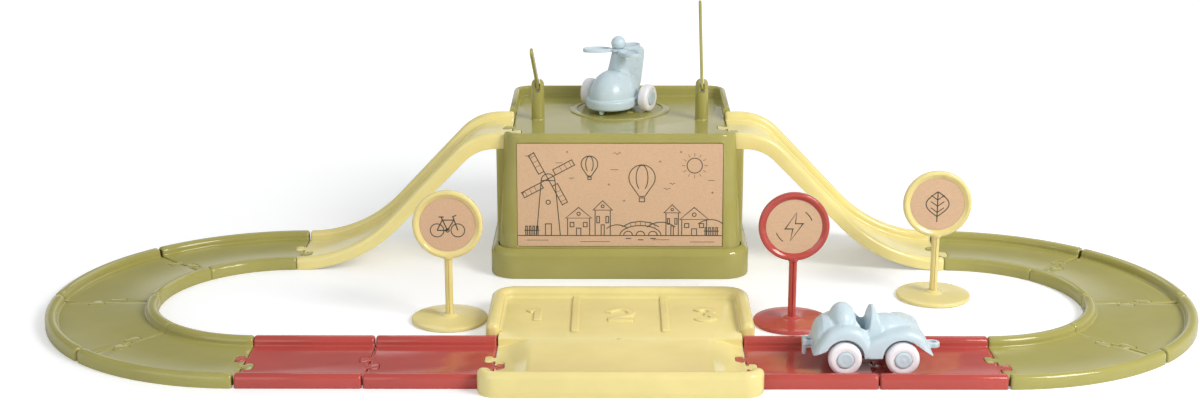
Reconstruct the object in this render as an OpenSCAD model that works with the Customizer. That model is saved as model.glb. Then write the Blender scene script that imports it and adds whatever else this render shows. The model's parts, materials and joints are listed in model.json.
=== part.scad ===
/* [Road] */
// Width of the road over its kerbs
road_w = 75; // [68:0.5:84]
// Width of one kerb
kerb_w = 8; // [7:0.5:9]
// Height of the kerbs
kerb_h = 9; // [8:0.5:11]
// Height of the driving surface
floor_z = 3; // [2.6:0.1:4]
// Thickness of the moulded shell
shell_t = 2; // [1.6:0.1:2.2]
// Rounding of the kerb tops
kerb_r = 2.6; // [2.2:0.1:3]
// Radius of the road's centreline in a curve
curve_r = 118.4; // [112:0.2:130]
// Length of one straight piece
straight_len = 80; // [70:1:92]
// Distance of the tray's and the deck's road ends from the set's middle
seam_x = 80; // [76:0.5:88]
// Gap between the ends of two neighbouring pieces
seam_gap = 0.8; // [0.5:0.1:1.2]

/* [Jigsaw ends] */
// Distance of a jigsaw tab from the centreline
tab_offset = 6.7; // [6.3:0.1:8]
// Width of the head of a tab
tab_w = 11; // [9:0.5:12]
// Rounding of the head of a tab
tab_head_r = 2.6; // [2:0.1:2.8]
// How far a tab reaches past the end of its piece
tab_reach = 6.8; // [6:0.2:8]
// Width of the neck of a tab
tab_neck = 5.6; // [4.6:0.2:7]
// Gap around a tab in its socket
tab_clear = 0.3; // [0.2:0.05:0.5]

/* [Parking tray] */
// How far the tray's side rims reach in past its road ends
tray_rim_lap = 0.6; // [0.5:0.1:2]
// Distance of the tray's front edge from the road's centreline
tray_front = 52.3; // [50:0.5:58]
// Distance of the tray's back edge from the road's centreline
tray_back = 119.5; // [112:0.5:128]
// Height of the tray's parking surface
tray_floor_z = 9; // [7.5:0.5:10]
// Height of the tray's rim
tray_rim_h = 15.5; // [14:0.5:18]
// Width of the rim
tray_rim_w = 9; // [8:0.5:10]
// Radius of the tray's corners
tray_corner_r = 16; // [14:0.5:20]
// Rounding of the rim's top
tray_rim_r = 3.6; // [2.5:0.1:3.9]
// Length of the slope from the road up to the parking surface
tray_slope_len = 22; // [16:1:28]
// Width of a rib between two parking spaces
rib_w = 4.6; // [3.5:0.2:6]
// Height of the ribs and the numbers above the parking surface
rib_rise = 1.4; // [0.8:0.1:2.5]
// Spacing of the two ribs
rib_pitch = 60; // [56:0.5:64]
// Length of the ribs
rib_len = 70; // [50:1:74]
// Height of the numbers, as lettering
digit_h = 27; // [20:1:32]
// Width of the numbers
digit_w = 18; // [14:1:20]
// Width of a number's stroke
digit_stroke = 4.2; // [3:0.2:5]
// Distance of the numbers' tops from the tray's back edge
digit_back = 31.5; // [24:0.5:38]
// Distance of the outer numbers from the middle one
digit_pitch = 57; // [50:0.5:60]
// Diameter of the moulding mark on the parking surface
gate_mark_d = 3.6; // [2:0.2:5]

/* [Ramps] */
// Height of the upper road above the lower one
ramp_rise = 95; // [85:1:98]
// Radius of a ramp's lower bend
ramp_low_r = 105; // [95:1:115]
// Radius of a ramp's upper bend
ramp_top_r = 32; // [25:1:40]
// Level stretch at a ramp's upper end
ramp_flat = 11; // [10.5:0.5:14]
// How much deeper the ramp's side skirts are at its upper end
skirt_drop = 2.5; // [1.5:0.5:4]

/* [Garage box] */
// How far the foot of the box stands out past the deck's road ends
box_side = 8.5; // [7.5:0.5:9.5]
// Depth of the box at its foot
box_foot_d = 174; // [168:1:180]
// How much each side leans in from foot to top
box_lean = 4.5; // [3:0.5:5]
// Radius of the box's corners
box_corner_r = 13; // [10:0.5:16]
// Wall thickness of the box
box_wall = 3; // [2.4:0.1:3.4]
// Height of the rim above the deck
deck_rim_h = 8.5; // [7:0.5:11]
// Width of the rim around the deck
deck_rim_w = 4.6; // [4:0.1:5.4]
// Width of the base's shoulder around the box
base_wall = 6; // [5:0.5:7]
// Height of the base
base_h = 22; // [18:1:26]
// Rounding of the base's shoulder
base_shoulder_r = 5; // [3:0.5:5.2]
// Thickness of the base's floor
base_floor_t = 3; // [2.5:0.1:4]
// Gap between the box and its base
base_clear = 0.3; // [0.2:0.05:0.6]
// How far the base stands out in front of the back road
box_ahead = 21.4; // [18:0.5:30]
// How far the pilasters under the ramps stand out past the deck's road ends
pilaster_side = 10; // [9.8:0.1:11]

/* [Label] */
// Width of the printed card
label_w = 148.6; // [140:0.5:152]
// Lowest edge of the card
label_z = 23.5; // [23:0.5:30]
// Height of the card
label_h = 76; // [66:0.5:77]
// Thickness of the card
label_t = 0.8; // [0.5:0.1:1.2]
// Gap around the card in its recess
label_clear = 0.3; // [0.2:0.05:0.6]
// How deep the card lies below the face of the box
label_sink = 0.3; // [0.1:0.1:0.6]

/* [Helipad] */
// Outer diameter of the helipad's ring
pad_d = 78; // [70:1:84]
// Width of the ring
pad_ring_w = 5.6; // [4:0.2:7]
// Height of the ring above the deck
pad_rise = 0.2; // [0.1:0.05:0.2]
// Distance of the helipad's middle from the road's back kerb
pad_back = 30.7; // [28:0.1:34]
// Height of the pad's letter
pad_letter_h = 30; // [24:1:34]
// Width of the pad's letter
pad_letter_w = 20; // [16:1:24]
// Stroke of the pad's letter
pad_letter_stroke = 4.5; // [3:0.5:6]

/* [Barriers] */
// Diameter of a barrier post
post_d = 10; // [9:0.2:11]
// Height of a barrier post
post_h = 31.8; // [28:0.2:36]
// Distance between the two posts
post_pitch = 124.6; // [118:0.2:130]
// Distance of the posts from the road's outer edge
post_inset = 3.4; // [2.5:0.1:6]
// Diameter of the peg under a post
peg_d = 6; // [5:0.2:7]
// Length of the peg under a post
peg_len = 6; // [4:0.5:9]
// Radial play of a peg in its hole
peg_play = 0.05; // [0.02:0.01:0.1]
// Width of the fork's slot
fork_gap = 3.2; // [2.9:0.1:3.6]
// Depth of the fork's slot
fork_depth = 10.6; // [9.8:0.2:12]
// Height of the hinge pin above the slot's bottom
pin_rise = 5.2; // [4.8:0.1:5.6]
// Diameter of the hinge pin
pin_d = 2.4; // [2:0.1:3]
// Radial play of an arm on its pin
pin_play = 0.06; // [0.03:0.01:0.1]
// Reach of a barrier arm from its pin
arm_len = 65; // [55:1:68]
// Thickness of a barrier arm
arm_t = 2.2; // [1.8:0.1:2.4]
// Height of the arm's blade
arm_w = 6; // [4.5:0.5:7]
// Radius of the arm's eye
eye_r = 4.3; // [3.6:0.1:4.5]
// Sideways lean of the arms in their forks
arm_lean = 2; // [0:0.5:2.5]
// How far the left arm is lowered from upright
left_arm_drop = 55; // [0:1:90]

/* [Signs] */
// Diameter of a sign's foot
foot_d = 52; // [46:1:56]
// Height of a sign's foot at its edge
foot_edge_h = 2.4; // [1.8:0.1:3]
// Height of a sign's foot at its middle
foot_mid_h = 4; // [3.4:0.1:5]
// Diameter of a sign's pole
pole_d = 6.2; // [5.4:0.1:7]
// Height of the middle of a sign's head
head_z = 68.5; // [60:0.5:76]
// Diameter of a sign's head
head_d = 47.6; // [42:0.2:52]
// Thickness of a sign's head
head_t = 4.6; // [3.8:0.2:6]
// Diameter of the printed disc in the head
card_d = 37.6; // [32:0.2:39]
// Thickness of the printed disc
card_t = 0.6; // [0.4:0.1:0.8]
// Depth of the dish around the printed disc
dish_depth = 1.4; // [0.8:0.1:1.8]
// Gap around the printed disc
card_clear = 0.15; // [0.1:0.05:0.3]
// Width of the grooves along a pole
groove_w = 1.4; // [1:0.1:1.8]
// How deep a pole sits in its foot
pole_seat = 3; // [2:0.2:3.4]
// Place of the left sign, from the set's middle and the front road
sign_left_at = [-116.4, 89.2]; // [-300:0.1:300]
// Place of the middle sign
sign_middle_at = [116.6, 84.9]; // [-300:0.1:300]
// Place of the right sign
sign_right_at = [221.7, 140]; // [-300:0.1:300]

/* [Wheels] */
// Diameter of the toy vehicles' wheels
wheel_d = 21; // [18:0.5:22]
// Width of a wheel
wheel_w = 8; // [6.5:0.5:9]
// Rounding of a wheel's edges
wheel_r = 2.4; // [1.5:0.1:3]
// Diameter of the axles
axle_d = 3.2; // [2.6:0.1:4]
// Radial play of an axle in its vehicle
axle_play = 0.06; // [0.03:0.01:0.1]
// Diameter of a hub cap
cap_d = 9.4; // [8:0.2:11]
// Thickness of a hub cap
cap_t = 1.8; // [1.4:0.1:2.6]
// Free height under the standing vehicles' wheels
rest_gap = 0.3; // [0.25:0.05:0.4]
// Free height between a wheel and its arch
arch_gap = 1.2; // [0.8:0.1:1.8]

/* [Car] */
// Distance between the car's axles
wheelbase = 36; // [34:0.5:38]
// Distance between the middles of the car's left and right wheels
car_track = 39; // [36:0.5:41]
// Width of the car's fenders
fender_w = 42; // [38:0.5:44]
// Length of the car without its couplings
car_len = 72; // [70:0.5:76]
// Width of the bonnet and cabin
cabin_w = 29; // [26:0.5:30]
// Height of the sill above the road
sill_rise = 9.5; // [8:0.5:11]
// Height of the bonnet above the road
bonnet_rise = 32.5; // [30:0.5:35]
// Height of the seat back above the road
seat_rise = 40; // [37:0.5:42]
// Height of the windscreen above the road
screen_rise = 39; // [36:0.5:41]
// Distance of the windscreen's foot ahead of the car's middle
screen_x = 4; // [2:0.5:6]
// Lean of the windscreen
screen_lean = 6; // [0:1:12]
// Diameter of the hole in the front coupling
tow_hole_d = 4.2; // [3.6:0.2:5]
// Thickness of the front coupling's tongue
tow_t = 3.4; // [2.6:0.2:4]
// Distance of the car's middle from the seam between the two right straights, towards the tray
car_before_seam = 1.8; // [-8:0.2:8]

/* [Helicopter] */
// Turn of the helicopter on its pad
heli_turn = -27; // [-60:1:60]
// Place of the helicopter's axle, from the middle of the pad
heli_at = [-1, 3]; // [-10:0.5:10]
// Distance between the middles of the helicopter's wheels
heli_track = 50; // [46:0.5:54]
// Width of the helicopter's hull
hull_w = 37; // [34:0.5:38]
// Height of the rotor's middle above the deck
rotor_rise = 46; // [43:0.5:50]
// Reach of a rotor blade
blade_len = 27.5; // [24:0.5:31]
// Width of a rotor blade
blade_w = 10.5; // [8:0.5:13]
// Thickness of the rotor
blade_t = 2.6; // [2:0.1:3.4]
// Number of rotor blades
blade_count = 3; // [2:1:4]
// Diameter of the ball on top of the rotor
ball_d = 11.4; // [9:0.2:13]
// Diameter of the rotor's spindle
spindle_d = 3; // [2.4:0.1:4]
// Free height above and below the rotor
rotor_gap = 0.4; // [0.3:0.1:0.8]
// Distance of the nose foot ahead of the axle
nose_reach = 32; // [28:0.5:34]
// Reach of the tail fin behind the axle
tail_reach = 37; // [32:0.5:42]
// Thickness of the tail fin
tail_t = 9; // [7:0.5:12]

/* [Hidden] */
$fn = 64;
eps = 0.01;

// Colours of the plastics and the cards
olive = "#acac68";
red = "#b8504a";
yellow = "#e9dc9c";
blue = "#c8dce2";
white = "#f0ecf2";
kraft = "#d4ac8a";

// Pieces in each half circle and on each side of the tray, as NODES lists them
curve_count = 4;
straight_count = 2;

// Plan of the set: X from its middle, Y from the front road's centreline
back_y = 2 * curve_r;
loop_x = seam_x + straight_count * straight_len;
car_x = seam_x + straight_len - car_before_seam;
ramp_len = straight_count * straight_len;
curve_angle = 180 / curve_count;
road_foot = road_w / 2 - kerb_w;
base_front_y = back_y - road_w / 2 - box_ahead;
base_d = box_foot_d + 2 * base_wall;
box_front_y = base_front_y + base_wall;
box_mid_y = base_front_y + base_d / 2;
middle_y = (base_front_y + base_d - tray_front) / 2;
far_kerb_y = back_y + road_w / 2;

// Heights
deck_z = ramp_rise + floor_z;
box_top_z = deck_z + deck_rim_h;
pilaster_top_z = ramp_rise - skirt_drop;
axle_r = axle_d / 2;
wheel_rad = wheel_d / 2;

// Box
box_half_w = seam_x + box_side;
base_w = 2 * (box_half_w + base_wall);
box_slope = box_lean / (box_top_z - base_h);
box_lean_angle = atan(box_slope);
seam_half = seam_gap / 2;
press_play = 0.02;
spindle_bore = 9;
spindle_free = 2;
tab_thin = 0.05;

// Ramp: two bends joined by the straight line that touches both
ramp_run = ramp_len - ramp_flat;
function s_turn(rise) =
  let (sum = ramp_low_r + ramp_top_r, drop = sum - rise, far = sqrt(ramp_run ^ 2 + drop ^ 2 - sum ^ 2))
  atan2(sum, far) - atan2(drop, ramp_run);
// Points of that curve seen from the side, moved up by a height square to it,
// from the seam on the deck down to the lower seam
function s_points(rise, up = 0, steps = 16) =
  let (turn = s_turn(rise))
  concat(
    [[0, rise + up]],
    [for (i = [0:steps]) let (a = turn * i / steps)
      [ramp_flat + (ramp_top_r + up) * sin(a), rise - ramp_top_r + (ramp_top_r + up) * cos(a)]],
    [for (i = [0:steps]) let (a = turn * (1 - i / steps))
      [ramp_len - (ramp_low_r - up) * sin(a), ramp_low_r - (ramp_low_r - up) * cos(a)]]
  );
function reversed(list) = [for (i = [len(list) - 1:-1:0]) list[i]];

// ---- Shared shapes ----

// Bar standing on y = 0 with a rounded top
module bar2d(w, h, r) {
  translate([-w / 2, 0]) square([w, h - r]);
  translate([r - w / 2, 0]) square([w - 2 * r, h]);
  for (side = [-1, 1]) translate([side * (w / 2 - r), h - r]) circle(r);
}

// Rectangle with round corners, middle at the origin
module round_rect2d(w, d, r) {
  square([w - 2 * r, d], center = true);
  square([w, d - 2 * r], center = true);
  for (sx = [-1, 1], sy = [-1, 1]) translate([sx * (w / 2 - r), sy * (d / 2 - r)]) circle(r);
}

// Stroke with round ends from a to b
module stroke2d(a, b, w) {
  length = norm(b - a);
  translate(a) rotate(atan2(b[1] - a[1], b[0] - a[0])) {
    translate([0, -w / 2]) square([length, w]);
    circle(w / 2);
    translate([length, 0]) circle(w / 2);
  }
}

// Part of a ring between two angles, a hair narrower than its round ends
module arc2d(r, w, from, to) {
  steps = 12;
  half = w / 2 - 0.05;
  angles = [for (i = [0:steps]) from + (to - from) * i / steps];
  polygon(concat(
    [for (a = angles) (r + half) * [cos(a), sin(a)]],
    reversed([for (a = angles) (r - half) * [cos(a), sin(a)]])
  ));
  for (a = [from, to]) rotate(a) translate([r, 0]) circle(w / 2);
}

// Sweeps a profile (x outward, y up) round a rectangle of w by d with corner radius r
module ring_sweep(w, d, r) {
  for (k = [0:3]) {
    across = k % 2 == 0 ? w : d;
    along = k % 2 == 0 ? d : w;
    rotate(90 * k) {
      translate([across / 2, along / 2 - r, 0])
        rotate([90, 0, 0]) linear_extrude(along - 2 * r) children();
      translate([across / 2 - r, along / 2 - r, 0])
        rotate_extrude(angle = 90) translate([r, 0]) children();
    }
  }
}

// Extrudes a profile (x across, y up) along +X
module along_x(from, to) {
  translate([from, 0, 0]) rotate([90, 0, 90]) linear_extrude(to - from) children();
}

// Puts the whole set over its own origin
module in_set() {
  translate([0, -middle_y, 0]) children();
}

// ---- Road ----

module kerbs2d(w, h, r) {
  for (side = [-1, 1]) translate([side * (road_w - kerb_w) / 2, 0]) bar2d(w, h, r);
}

module road2d() {
  kerbs2d(kerb_w, kerb_h, kerb_r);
  translate([-road_foot - shell_t / 2, floor_z - shell_t]) square([2 * road_foot + shell_t, shell_t]);
}

// Hollow under the kerbs
module kerb_hollow2d() {
  translate([0, -eps]) kerbs2d(kerb_w - 2 * shell_t, kerb_h - shell_t + eps, kerb_r - shell_t / 2);
}

// Jigsaw tab reaching along +X from the seam, made larger by grow
module tab2d(grow = 0) {
  head_x = tab_reach - tab_head_r;
  head_y = tab_w / 2 - tab_head_r;
  translate([-2 * seam_gap, -tab_neck / 2 - grow]) square([head_x + 2 * seam_gap, tab_neck + 2 * grow]);
  translate([head_x - tab_head_r - grow, -head_y]) square([2 * (tab_head_r + grow), 2 * head_y]);
  for (side = [-1, 1]) translate([head_x, side * head_y]) circle(tab_head_r + grow);
}

// One road end at the origin, looking along +X: tab on the right, socket on the left.
// The tab is a little thinner than the road, so that it slips in.
module end_tab(top = floor_z) {
  translate([0, -tab_offset, top - shell_t + tab_thin]) linear_extrude(shell_t - 2 * tab_thin) tab2d();
}

module end_socket(top = floor_z) {
  translate([0, tab_offset, top - shell_t - tab_thin]) linear_extrude(shell_t + 2 * tab_thin)
    mirror([1, 0]) tab2d(tab_clear);
}

module straight_piece() {
  difference() {
    union() {
      along_x(seam_half, straight_len - seam_half) road2d();
      translate([straight_len, 0, 0]) end_tab();
      rotate(180) end_tab();
    }
    along_x(seam_half + shell_t, straight_len - seam_half - shell_t) kerb_hollow2d();
    translate([straight_len, 0, 0]) end_socket();
    rotate(180) end_socket();
  }
}

// Curve round the origin, from angle 0 to curve_angle
module curve_piece() {
  half_gap = asin(seam_half / curve_r);
  end_wall = half_gap + asin(shell_t / (curve_r - road_w / 2));
  difference() {
    union() {
      rotate(half_gap) rotate_extrude(angle = curve_angle - 2 * half_gap, $fn = 256)
        translate([curve_r, 0]) road2d();
      rotate(curve_angle) translate([curve_r, 0, 0]) rotate(90) end_tab();
      translate([curve_r, 0, 0]) rotate(-90) end_tab();
    }
    rotate(end_wall) rotate_extrude(angle = curve_angle - 2 * end_wall, $fn = 256)
      translate([curve_r, 0]) kerb_hollow2d();
    rotate(curve_angle) translate([curve_r, 0, 0]) rotate(90) end_socket();
    translate([curve_r, 0, 0]) rotate(-90) end_socket();
  }
}

// side = -1 for the left half circle, 1 for the right; pieces count from the front road
module curve_at(side, index) {
  in_set() translate([side * loop_x, curve_r, 0])
    rotate(side > 0 ? index * curve_angle - 90 : 270 - (index + 1) * curve_angle)
      color(olive) curve_piece();
}

module straight_at(side, index) {
  in_set() translate([side > 0 ? seam_x + index * straight_len : -seam_x - (index + 1) * straight_len, 0, 0])
    color(red) straight_piece();
}

module curve_left_1() { curve_at(-1, 0); }
module curve_left_2() { curve_at(-1, 1); }
module curve_left_3() { curve_at(-1, 2); }
module curve_left_4() { curve_at(-1, 3); }
module curve_right_1() { curve_at(1, 0); }
module curve_right_2() { curve_at(1, 1); }
module curve_right_3() { curve_at(1, 2); }
module curve_right_4() { curve_at(1, 3); }
module straight_left_1() { straight_at(-1, 0); }
module straight_left_2() { straight_at(-1, 1); }
module straight_right_1() { straight_at(1, 0); }
module straight_right_2() { straight_at(1, 1); }

// ---- Parking tray ----

tray_in_x = seam_x - tray_rim_lap;
tray_half_w = tray_in_x + tray_rim_w;
tray_d = tray_front + tray_back;
tray_mid_y = (tray_back - tray_front) / 2;
digit_y = tray_back - digit_back - digit_h;

module digit_one2d() {
  stroke2d([digit_w / 12, 0], [digit_w / 12, digit_h - digit_stroke], digit_stroke);
  stroke2d([digit_w / 12, digit_h - digit_stroke], [-digit_w / 4, digit_h * 0.72], digit_stroke);
}

module digit_two2d() {
  r = (digit_w - digit_stroke) / 2;
  translate([0, digit_h - digit_stroke - r]) arc2d(r, digit_stroke, -40, 170);
  stroke2d([r * cos(40), digit_h - digit_stroke - r - r * sin(40)], [-r, 0], digit_stroke);
  stroke2d([-r, 0], [r, 0], digit_stroke);
}

module digit_three2d() {
  r = (digit_h - digit_stroke) / 4;
  for (up = [1, 3]) translate([0, up * r]) {
    arc2d(r, digit_stroke, -90, 90);
    stroke2d([-digit_w / 4, (up - 2) * r], [0, (up - 2) * r], digit_stroke);
  }
  stroke2d([-digit_w / 8, 2 * r], [0, 2 * r], digit_stroke);
}

module tray_marks() {
  translate([0, 0, tray_floor_z - eps]) linear_extrude(rib_rise + eps) {
    for (side = [-1, 1]) translate([side * rib_pitch / 2 - rib_w / 2, tray_back - tray_rim_w - rib_len])
      square([rib_w, rib_len + tray_rim_w / 2]);
    translate([0, digit_y + digit_stroke / 2]) {
      translate([-digit_pitch, 0]) digit_one2d();
      digit_two2d();
      translate([digit_pitch, 0]) digit_three2d();
    }
  }
  translate([0, road_foot, tray_floor_z - eps]) cylinder(h = rib_rise / 2, d = gate_mark_d);
}

// Slope between the road's driving surface and the parking surface, for one end
module tray_slope_cut() {
  translate([0, road_foot, 0]) rotate([90, 0, 0]) linear_extrude(2 * road_foot) polygon([
    [seam_x - tray_slope_len, tray_floor_z + eps], [seam_x - tray_slope_len, tray_floor_z],
    [seam_x - shell_t, floor_z], [seam_x + tray_rim_w, floor_z], [seam_x + tray_rim_w, tray_floor_z + eps]
  ]);
}

module parking_tray() {
  hollow_x = seam_x - tray_slope_len - shell_t;
  in_set() color(yellow) difference() {
    union() {
      difference() {
        union() {
          translate([0, tray_mid_y, 0]) {
            linear_extrude(tray_floor_z)
              round_rect2d(2 * tray_half_w - tray_rim_w, tray_d - tray_rim_w, tray_corner_r - tray_rim_w / 2);
            ring_sweep(2 * tray_half_w - tray_rim_w, tray_d - tray_rim_w, tray_corner_r - tray_rim_w / 2)
              bar2d(tray_rim_w, tray_rim_h, tray_rim_r);
          }
          tray_marks();
        }
        // Room for the road pieces that plug in on both sides
        for (side = [0, 180]) rotate(side) {
          translate([seam_x - seam_half, -road_w / 2 - seam_half, -eps])
            cube([tray_rim_w * 2, road_w + 2 * seam_half, tray_rim_h + 1]);
          tray_slope_cut();
        }
        // Hollow under the parking surface
        translate([-hollow_x, -tray_front + tray_rim_w, -eps])
          cube([2 * hollow_x, tray_d - 2 * tray_rim_w, tray_floor_z - shell_t + eps]);
      }
      for (side = [0, 180]) rotate(side) translate([seam_x, 0, 0]) end_tab();
    }
    for (side = [0, 180]) rotate(side) translate([seam_x, 0, 0]) end_socket();
  }
}

// ---- Ramps ----

// Band of the ramp between two of its curves, width wide with its middle at y, short of both seams
module ramp_band(low, high, y, width, short = 0) {
  translate([0, y, 0]) rotate([90, 0, 0]) linear_extrude(width, center = true) intersection() {
    polygon(concat(low, reversed(high)));
    translate([seam_half + short, -2]) square([ramp_len - seam_gap - 2 * short, 2 * box_top_z]);
  }
}

// Right-hand ramp, from the deck's seam at the origin down along +X.
// Its side skirts reach lower than the road towards the deck.
module ramp() {
  skirt_rise = ramp_rise - skirt_drop;
  kerb_y = (road_w - kerb_w) / 2;
  difference() {
    union() {
      for (side = [-1, 1])
        ramp_band(s_points(skirt_rise), s_points(ramp_rise, kerb_h), side * kerb_y, kerb_w);
      ramp_band(s_points(ramp_rise, floor_z - shell_t), s_points(ramp_rise, floor_z), 0,
        2 * road_foot + shell_t);
      translate([ramp_len, 0, 0]) end_tab();
      translate([0, 0, ramp_rise]) rotate(180) end_tab();
    }
    for (side = [-1, 1])
      ramp_band(s_points(skirt_rise, -1), s_points(ramp_rise, kerb_h - shell_t), side * kerb_y,
        kerb_w - 2 * shell_t, shell_t);
    translate([ramp_len, 0, 0]) end_socket();
    translate([0, 0, ramp_rise]) rotate(180) end_socket();
  }
}

module ramp_right() {
  in_set() translate([seam_x, back_y, 0]) color(yellow) ramp();
}

module ramp_left() {
  in_set() translate([-seam_x, back_y, 0]) rotate(180) color(yellow) ramp();
}

// ---- Garage box ----

// The box's outline at a height above the base, drawn in by inset
module box_slice2d(z, inset = 0) {
  lean = max(0, z - base_h) * box_slope;
  round_rect2d(2 * (box_half_w - lean - inset), box_foot_d - 2 * (lean + inset), box_corner_r - inset);
}

// The box from one height to another, straight in the base and leaning in above it
module box_form(from, to, inset = 0) {
  translate([0, box_mid_y, 0]) {
    translate([0, 0, from]) linear_extrude(base_h - from) box_slice2d(base_h, inset);
    hull() {
      translate([0, 0, base_h]) linear_extrude(eps) box_slice2d(base_h, inset, $fn = 32);
      translate([0, 0, to - eps]) linear_extrude(eps) box_slice2d(to, inset, $fn = 32);
    }
  }
}

module on_front_face() {
  translate([0, box_front_y, base_h]) rotate([-box_lean_angle, 0, 0]) children();
}

module pilaster_block(inset) {
  half = seam_x + pilaster_side - inset;
  translate([-half, far_kerb_y - road_w + inset, base_h + base_clear - (inset > 0 ? eps : 0)])
    cube([2 * half, road_w - 2 * inset, pilaster_top_z - base_h - base_clear - inset]);
}

pad_y = far_kerb_y + pad_back;
post_y = far_kerb_y - post_inset;

module pad_letter2d() {
  bar = pad_letter_stroke;
  tall = (pad_letter_h - bar) / 2;
  wide = (pad_letter_w - bar) / 2;
  for (side = [-1, 1]) stroke2d([side * wide, -tall], [side * wide, tall], bar);
  stroke2d([-wide, 0], [wide, 0], bar);
}

module helipad() {
  translate([0, pad_y, deck_z - eps]) linear_extrude(pad_rise + eps) {
    difference() {
      circle(pad_d / 2);
      circle(pad_d / 2 - pad_ring_w);
    }
    pad_letter2d();
  }
}

// Ledge that closes the wall under the deck's road end and backs the ramp's end
module deck_ledge() {
  inner_x = seam_x - seam_half - shell_t;
  width = road_w + 2 * shell_t;
  translate([inner_x, back_y - width / 2, pilaster_top_z - box_wall]) {
    cube([box_half_w - box_lean - inner_x, width, box_wall]);
    cube([shell_t, width, deck_z - shell_t / 2 - pilaster_top_z + box_wall]);
  }
}

module box_shell() {
  difference() {
    union() {
      box_form(base_floor_t, box_top_z);
      pilaster_block(0);
    }
    box_form(base_floor_t - 1, deck_z - shell_t, box_wall);
    pilaster_block(box_wall);
    // Basin above the deck
    translate([0, box_mid_y, deck_z]) linear_extrude(deck_rim_h + 1) box_slice2d(box_top_z, deck_rim_w);
    // Room for the ramps' ends
    for (side = [0, 1]) mirror([side, 0, 0])
      translate([seam_x - seam_half, far_kerb_y - road_w - seam_half, pilaster_top_z])
        cube([2 * pilaster_side, road_w + 2 * seam_half, box_top_z]);
    // Recess for the card
    on_front_face() translate([0, (label_t + label_sink) / 2 - 1, label_z - base_h + label_h / 2])
      cube([label_w + 2 * label_clear, label_t + label_sink + 2, label_h + 2 * label_clear], center = true);
  }
}

module box_body() {
  in_set() color(olive) {
    difference() {
      union() {
        box_shell();
        for (side = [0, 1]) mirror([side, 0, 0]) deck_ledge();
        for (side = [-1, 1]) translate([side * post_pitch / 2, post_y, deck_z - peg_len])
          cylinder(h = peg_len - shell_t / 2, d = peg_d + 2 * shell_t);
      }
      for (side = [0, 180]) translate([0, back_y, 0]) rotate(side) translate([seam_x, 0, 0])
        end_socket(deck_z);
      for (side = [-1, 1]) translate([side * post_pitch / 2, post_y, deck_z - peg_len - 1])
        cylinder(h = peg_len + 2, r = peg_d / 2 + peg_play);
    }
    helipad();
    for (side = [0, 180]) translate([0, back_y, 0]) rotate(side) translate([seam_x, 0, 0]) end_tab(deck_z);
  }
}

module base_wall2d() {
  half = base_wall / 2;
  intersection() {
    translate([base_clear - half, 0]) square([base_wall - base_clear, base_h]);
    union() {
      translate([-base_wall, 0]) square([base_wall + half, base_h - base_shoulder_r]);
      translate([-base_wall, 0]) square([base_wall + half - base_shoulder_r, base_h]);
      translate([half - base_shoulder_r, base_h - base_shoulder_r]) circle(base_shoulder_r);
    }
  }
}

module box_base() {
  path_r = box_corner_r + base_wall / 2;
  in_set() translate([0, box_mid_y, 0]) color(olive) {
    linear_extrude(base_floor_t) round_rect2d(base_w - base_wall, base_d - base_wall, path_r);
    ring_sweep(base_w - base_wall, base_d - base_wall, path_r) base_wall2d();
  }
}

module box_label() {
  in_set() color(kraft) on_front_face()
    translate([-label_w / 2, label_sink, label_z - base_h]) cube([label_w, label_t, label_h]);
}

// ---- Barriers ----

module barrier_post() {
  post_r = post_d / 2;
  peg_short = 1;
  pin_z = post_h - fork_depth + pin_rise;
  difference() {
    union() {
      cylinder(h = post_h - post_r, r = post_r);
      translate([0, 0, post_h - post_r]) sphere(post_r);
      translate([0, 0, peg_short - peg_len]) cylinder(h = peg_len, r = peg_d / 2);
    }
    translate([-fork_gap / 2, -post_d, post_h - fork_depth]) cube([fork_gap, 2 * post_d, post_h]);
    translate([0, 0, pin_z]) rotate([0, 90, 0])
      cylinder(h = 2 * post_d, r = pin_d / 2 + press_play, center = true);
  }
}

module barrier_pin() {
  sunk = 0.8;
  length = 2 * sqrt((post_d / 2) ^ 2 - (pin_d / 2) ^ 2) - 2 * sunk;
  rotate([0, 90, 0]) cylinder(h = length, r = pin_d / 2, center = true);
}

module barrier_arm() {
  difference() {
    rotate([0, -arm_lean, 0]) translate([-arm_t / 2, 0, 0]) rotate([90, 0, 90]) linear_extrude(arm_t) {
      circle(eye_r);
      stroke2d([0, 0], [0, arm_len - arm_w / 2], arm_w);
    }
    rotate([0, 90, 0]) cylinder(h = 4 * arm_t, r = pin_d / 2 + pin_play, center = true);
  }
}

module at_post(side, up = 0) {
  in_set() translate([side * post_pitch / 2, post_y, deck_z + up]) color(olive) children();
}

hinge_z = post_h - fork_depth + pin_rise;
module barrier_post_left() { at_post(-1) barrier_post(); }
module barrier_post_right() { at_post(1) barrier_post(); }
module barrier_pin_left() { at_post(-1, hinge_z) barrier_pin(); }
module barrier_pin_right() { at_post(1, hinge_z) barrier_pin(); }
module barrier_arm_left() { at_post(-1, hinge_z) rotate([left_arm_drop, 0, 0]) barrier_arm(); }
module barrier_arm_right() { at_post(1, hinge_z) barrier_arm(); }

// ---- Signs ----

boss_h = foot_mid_h + 1.2;

module sign_foot() {
  difference() {
    union() {
      cylinder(h = foot_edge_h, d = foot_d);
      translate([0, 0, foot_edge_h]) cylinder(h = foot_mid_h - foot_edge_h, r1 = foot_d / 2, r2 = pole_d);
      cylinder(h = boss_h, d = pole_d + 2 * shell_t);
    }
    translate([0, 0, boss_h - pole_seat]) cylinder(h = pole_seat + 1, r = pole_d / 2 + press_play);
  }
}

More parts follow.
